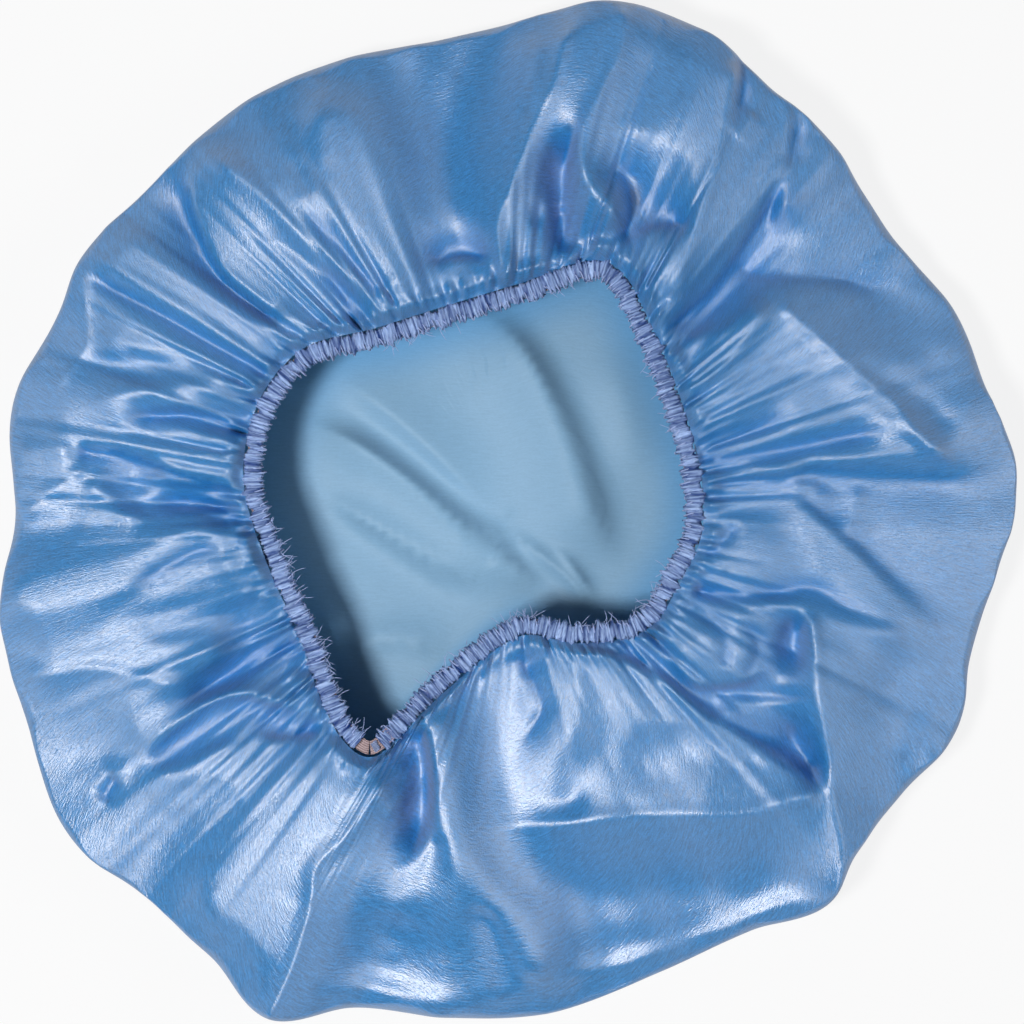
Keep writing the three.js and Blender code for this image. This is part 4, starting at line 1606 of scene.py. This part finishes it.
@dataclass
class OverlockThread:
    """Thread that loops round the raw edge of the hem, with fibres that fray from it."""

    casing: HemCasing
    scale: PhotoScale
    radius: float = 0.2
    pitch: float = 2.1
    loop_half: float = 1.6
    inset: float = 1.1
    clear: float = 0.35
    step: float = 0.15
    fibre_radius: float = 0.1
    pitch_sway: float = 1.5
    end_gap: float = 0.5
    fibre_inset: float = 0.6
    fibre_rise: Side = (-0.5, 2.0)
    fibre_inward: Side = (0.2, 1.0)
    fibre_aside: Side = (-1.0, 1.0)
    fibre_upward: Side = (-0.1, 0.6)
    fibre_length: Side = (2.0, 5.5)
    fibre_bend: Side = (-0.5, 0.5)
    fibre_droop: Side = (0.0, 1.2)
    fibre_points: int = 7
    fibre_corners: int = 4
    fibre_side: tuple[float, float, float] = (0.3, 0.2, 0.93)
    first_seed: int = 100
    frays: tuple[Fray, ...] = (
        Fray((430, 345), fibres=18, spread=22.0),
        Fray((285, 530), fibres=14, spread=16.0),
        Fray((300, 575), fibres=14, spread=16.0),
        Fray((330, 665), fibres=24, spread=24.0),
        Fray((515, 612), fibres=18, spread=12.0),
        Fray((600, 610), fibres=14, spread=26.0),
        Fray((660, 590), fibres=12, spread=14.0),
        Fray((560, 285), fibres=10, spread=24.0),
        Fray((350, 735), fibres=10, spread=6.0),
        Fray((440, 665), fibres=12, spread=22.0),
        Fray((645, 400), fibres=10, spread=30.0),
    )

    def loops(self, number: int) -> Shape:
        """Vertices and faces of the thread along one length: a flat spiral round the hem's inner edge."""
        line, casing = self.casing.line, self.casing
        start, stop = casing.reach(number)
        length = np.arange(start + self.end_gap, stop - self.end_gap, self.step)
        point, along, out = line.stations(length)
        aside, above = casing.middle(length)
        uneven = self.pitch_sway * wander(length / line.length, seed=41, waves=6, slowest=23)
        phase = 2.0 * math.pi * length / self.pitch + uneven
        across = aside - casing.half_width + self.inset - self.loop_half * np.cos(phase)
        rise = above + (casing.half_height + self.clear) * np.sin(phase)
        places = np.column_stack([point + out * across[:, None], casing.cap.band_height + rise])
        side = np.column_stack([along, np.zeros(len(along))])
        return MeshWriter.strand(places, self.radius, side)

    def fibre(self, length: float, dice: np.random.Generator) -> Shape:
        """Vertices and faces of one loose fibre, which leaves the hem's inner edge and bends aside.

        Args:
            length: length from the join at which it starts.
            dice: gives its direction, size and bend.

        Returns:
            Vertices and faces.
        """
        point, along, out = (row[0] for row in self.casing.line.stations(np.array([length])))
        inward = np.array([*-out, 0.0])
        aside = np.array([*along, 0.0])
        upward = np.array([0.0, 0.0, 1.0])
        root = np.array([*point, self.casing.cap.band_height])
        root = root + inward * (self.casing.half_width - self.fibre_inset)
        root = root + upward * dice.uniform(*self.fibre_rise)
        way = inward * dice.uniform(*self.fibre_inward)
        way = way + aside * dice.uniform(*self.fibre_aside)
        way = way + upward * dice.uniform(*self.fibre_upward)
        way *= dice.uniform(*self.fibre_length) / np.linalg.norm(way)
        bend = np.cross(way, upward) * dice.uniform(*self.fibre_bend)
        bend = bend - upward * dice.uniform(*self.fibre_droop)
        t = np.linspace(0.0, 1.0, self.fibre_points)[:, None]
        places = root + way * t + bend * t**2
        return MeshWriter.strand(places, self.fibre_radius, np.array(self.fibre_side), self.fibre_corners)

    def fibres(self, number: int) -> list[Shape]:
        """The loose fibres that start on one length of hem."""
        line = self.casing.line
        start, stop = self.casing.reach(number)
        every = np.arange(0.0, line.length, 1.0)
        point, _, _ = line.stations(every)
        found = []
        for spot, fray in enumerate(self.frays):
            dice = np.random.default_rng(self.first_seed + spot)
            middle = self.scale.place((fray.pixel,))[0]
            near = every[np.linalg.norm(point - middle, axis=1).argmin()]
            for place in near + fray.spread * dice.uniform(-0.5, 0.5, fray.fibres):
                fibre = self.fibre(place, dice)
                if start <= place < stop:
                    found.append(fibre)
        return found

    def build(self, material: Material) -> None:
        """Makes the thread of every length and lets it ride on its length of band."""
        for number in range(SEGMENTS):
            strands = [self.loops(number), *self.fibres(number)]
            before = np.cumsum([0] + [len(vertices) for vertices, _ in strands])
            vertices = np.vstack([vertices for vertices, _ in strands])
            faces = np.vstack([faces + first for (_, faces), first in zip(strands, before)])
            name = f"overlock_{number + 1:02d}"
            piece = MeshWriter.write(name, vertices, faces, [material], rib=np.ones(len(vertices)))
            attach(piece, f"band_{number + 1:02d}")
            LOG.info("%s: %d fibres", piece.name, len(strands) - 1)


@dataclass
class ElasticBand:
    """Flat knitted elastic inside the casing, with its ends lapped and tacked at the join."""

    line: BandLine
    half_width: float = 2.1
    thickness: float = 1.0
    ribs: int = 6
    rib_depth: float = 0.14
    lap_length: float = 10.0
    gap: float = 0.2
    step: float = 0.5
    across_points: int = 50
    tack_place: float = 2.0
    tack_swing: float = 1.1
    tack_inset: float = 0.6
    tack_turns: int = 9
    tack_points: int = 20
    tack_radius: float = 0.24

    def ribbon(self, name: str, node: str, start: float, stop: float, material: Material) -> Piece:
        """A flat ribbon along the band, with ribs that run lengthwise on both faces.

        Args:
            name: name of the piece.
            node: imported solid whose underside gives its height.
            start: length from the join at which it starts.
            stop: length at which it stops.
            material: finish of the elastic.

        Returns:
            A closed ribbon.
        """
        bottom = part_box(node)[0][2] / MM
        length = np.linspace(start, stop, max(round((stop - start) / self.step), 2))
        point, _, out = self.line.stations(length)
        across = np.linspace(-1.0, 1.0, self.across_points)
        rib = np.abs(np.cos(math.pi * self.ribs * (across + 1.0) / 2.0))
        top = bottom + self.thickness - self.rib_depth * (1.0 - rib)
        under = bottom + self.rib_depth * (1.0 - rib)
        around = np.concatenate([across[::-1], across]) * self.half_width
        height = np.concatenate([top[::-1], under])
        place = point[:, None, :] + out[:, None, :] * around[None, :, None]
        rings = np.dstack([place, np.broadcast_to(height, place.shape[:2])])
        size = rings.shape[1]
        quads = MeshWriter.quads(len(length), size, True)
        half = np.arange(self.across_points)
        near = MeshWriter.bridge(half, size - 1 - half)
        far = near[:, ::-1] + (len(length) - 1) * size
        faces = np.vstack([quads, near, far])
        # Painted shade: darker in the grooves between the ribs
        lit_share = np.tile(np.concatenate([rib[::-1], rib]), len(length))
        return MeshWriter.write(name, rings.reshape(-1, 3), faces, [material], rib=lit_share)

    def tack(self, material: Material) -> Piece:
        """The zigzag of thread that holds the lapped ends together."""
        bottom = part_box("bar_tack")[0][2] / MM
        t = np.linspace(0.0, 1.0, self.tack_points * self.tack_turns)
        point, along, out = self.line.stations(np.full(len(t), self.tack_place))
        zigzag = np.arcsin(np.sin(2.0 * math.pi * self.tack_turns * t))
        swing = self.tack_swing * 2.0 / math.pi * zigzag
        across = (2.0 * t - 1.0) * (self.half_width - self.tack_inset)
        places = point + along * swing[:, None] + out * across[:, None]
        lifted = np.column_stack([places, np.full(len(t), bottom + self.tack_radius)])
        vertices, faces = MeshWriter.strand(lifted, self.tack_radius, np.array([0.0, 0.0, 1.0]))
        return MeshWriter.write("tack_stitches", vertices, faces, [material], rib=np.ones(len(vertices)))

    def build(self, elastic: Material, thread: Material) -> None:
        """Makes the lengths of elastic, the lapped end and the stitches, each on its length of band."""
        piece_length = self.line.length / SEGMENTS
        for number in range(SEGMENTS):
            node = f"elastic_{number + 1:02d}"
            ends = number * piece_length + self.gap, (number + 1) * piece_length - self.gap
            piece = self.ribbon(f"elastic_ribbon_{number + 1:02d}", node, *ends, elastic)
            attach(piece, f"band_{number + 1:02d}")
            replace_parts(piece, node)
        lap = self.ribbon("elastic_end", "elastic_lap", self.gap, self.lap_length, elastic)
        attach(lap, "band_01")
        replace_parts(lap, "elastic_lap")
        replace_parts(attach(self.tack(thread), "band_01"), "bar_tack")
        LOG.info("elastic: %d lengths, a lapped end and its stitches", SEGMENTS)


@dataclass(frozen=True)
class SoftBox:
    """A wide soft light, aimed at the bonnet: where it stands in degrees, its watts and sizes in metres."""

    azimuth: float
    elevation: float
    power: float
    width: float = 1.3
    height: float = 0.45


@dataclass
class Studio:
    """Pale floor, soft light from all round and the camera straight above."""

    scale: PhotoScale
    picture: float = 1024.0
    camera_height: float = 1200.0
    focus_height: float = 15.0
    sensor: float = 36.0
    lamp_distance: float = 1.5
    lamp_colour: tuple[float, float, float] = (1.0, 0.985, 0.96)
    sky_colour: Colour = (0.32, 0.62, 1.0, 1.0)
    boxes: tuple[SoftBox, ...] = (
        SoftBox(azimuth=207, elevation=68, power=21.0, width=0.26, height=0.26),
        SoftBox(azimuth=205, elevation=80, power=1.5, width=1.4, height=1.4),
        SoftBox(azimuth=80, elevation=40, power=1.2),
        SoftBox(azimuth=352, elevation=38, power=6.5),
    )
    floor_half: float = 3000.0
    floor_drop: float = 0.6
    floor_colour: Colour = (0.62, 0.62, 0.63, 1.0)
    floor_roughness: float = 0.8
    floor_glow: float = 0.85
    sky_belt: tuple[Side, ...] = ((0.0, 0.6), (1.0, 0.7), (0.3, 1.0), (0.55, 1.0), (0.75, 0.8))
    sky_strength: float = 0.08

    def camera(self) -> None:
        """A camera straight above the picture's middle, with the rim at the picture's scale."""
        data = bpy.data.cameras.new("camera")
        data.sensor_width = self.sensor
        data.lens = self.sensor * self.camera_height / (self.picture * self.scale.millimetres_per_pixel)
        camera = bpy.data.objects.new("camera", data)
        height = self.camera_height + self.focus_height
        camera.location = (self.scale.shift[0] * MM, self.scale.shift[1] * MM, height * MM)
        bpy.context.scene.collection.objects.link(camera)
        bpy.context.scene.camera = camera

    def floor(self) -> None:
        """A pale table under the bonnet that glows for the camera and in highlights."""
        finish = Finish("floor")
        finish.shade(Base_Color=self.floor_colour, Roughness=self.floor_roughness)
        glow = finish.node("ShaderNodeEmission", Color=(1.0, 1.0, 1.0, 1.0), Strength=1.0)
        paths = finish.node("ShaderNodeLightPath").outputs
        seen = arithmetic(finish.tree, "MAXIMUM", paths["Is Camera Ray"], paths["Is Glossy Ray"])
        mix = finish.node("ShaderNodeMixShader")
        finish.join(arithmetic(finish.tree, "MULTIPLY", seen, self.floor_glow), mix.inputs[0])
        finish.join(finish.shader.outputs[0], mix.inputs[1])
        finish.join(glow.outputs[0], mix.inputs[2])
        finish.join(mix.outputs[0], finish.output.inputs["Surface"])
        plan = self.floor_half * np.array([(-1, -1), (1, -1), (1, 1), (-1, 1)], float)
        corners = np.column_stack([plan, np.full(len(plan), -self.floor_drop)])
        MeshWriter.write("floor", corners, np.array([[0, 1, 2, 3]]), [finish.material])

    def lights(self) -> None:
        """Large soft boxes round the bonnet, for the highlights on its slopes."""
        for number, box in enumerate(self.boxes):
            data = bpy.data.lights.new(f"soft_box_{number}", "AREA")
            data.shape = "RECTANGLE"
            data.size, data.size_y = box.height, box.width
            data.energy = box.power
            data.color = self.lamp_colour
            lamp = bpy.data.objects.new(f"soft_box_{number}", data)
            turn, rise = math.radians(box.azimuth), math.radians(box.elevation)
            flat = math.cos(rise)
            away = np.array([flat * math.cos(turn), flat * math.sin(turn), math.sin(rise)])
            lamp.location = (self.lamp_distance * away).tolist()
            lamp.rotation_euler = (0.0, math.pi / 2 - rise, turn)
            bpy.context.scene.collection.objects.link(lamp)

    def sky(self) -> None:
        """A sky that is dim overhead, brighter in a belt half way up, and plain and pale for the camera."""
        world = bpy.data.worlds.new("studio")
        world.use_nodes = True
        tree = world.node_tree
        tree.nodes.clear()
        place = tree.nodes.new("ShaderNodeTexCoord")
        height = tree.nodes.new("ShaderNodeSeparateXYZ")
        tree.links.new(place.outputs["Generated"], height.inputs[0])
        belt = tree.nodes.new("ShaderNodeFloatCurve")
        curve = belt.mapping.curves[0]
        for step, (rise, bright) in enumerate(self.sky_belt):
            if step < 2:
                curve.points[step].location = (rise, bright)
            else:
                curve.points.new(rise, bright)
        belt.mapping.update()
        tree.links.new(height.outputs["Z"], belt.inputs["Value"])
        strength = arithmetic(tree, "MULTIPLY", belt.outputs[0], self.sky_strength)
        dim = tree.nodes.new("ShaderNodeBackground")
        dim.inputs["Color"].default_value = self.sky_colour
        tree.links.new(strength, dim.inputs["Strength"])
        pale = tree.nodes.new("ShaderNodeBackground")
        paths = tree.nodes.new("ShaderNodeLightPath")
        mix = tree.nodes.new("ShaderNodeMixShader")
        tree.links.new(paths.outputs["Is Camera Ray"], mix.inputs[0])
        tree.links.new(dim.outputs[0], mix.inputs[1])
        tree.links.new(pale.outputs[0], mix.inputs[2])
        output = tree.nodes.new("ShaderNodeOutputWorld")
        tree.links.new(mix.outputs[0], output.inputs["Surface"])
        bpy.context.scene.world = world

    def build(self) -> None:
        """Sets the view transform and makes the camera, the floor, the lights and the sky."""
        bpy.context.scene.view_settings.view_transform = "Standard"
        self.camera()
        self.floor()
        self.lights()
        self.sky()


def main() -> None:
    """Builds the pieces in order."""
    logging.basicConfig(level=logging.INFO, format="%(message)s")
    line = BandLine()
    scale = PhotoScale(shift=tuple(line.shift))
    Studio(scale).build()
    thread = THREAD.make()
    cap = SatinCap(line, scale)
    cap.build([SATIN_FACE.make(), SATIN_REVERSE.make()])
    casing = HemCasing(line, cap)
    casing.build(HEM.make())
    OverlockThread(casing, scale).build(thread)
    ElasticBand(line).build(ELASTIC.make(), thread)


if __name__ == "__main__":
    main()
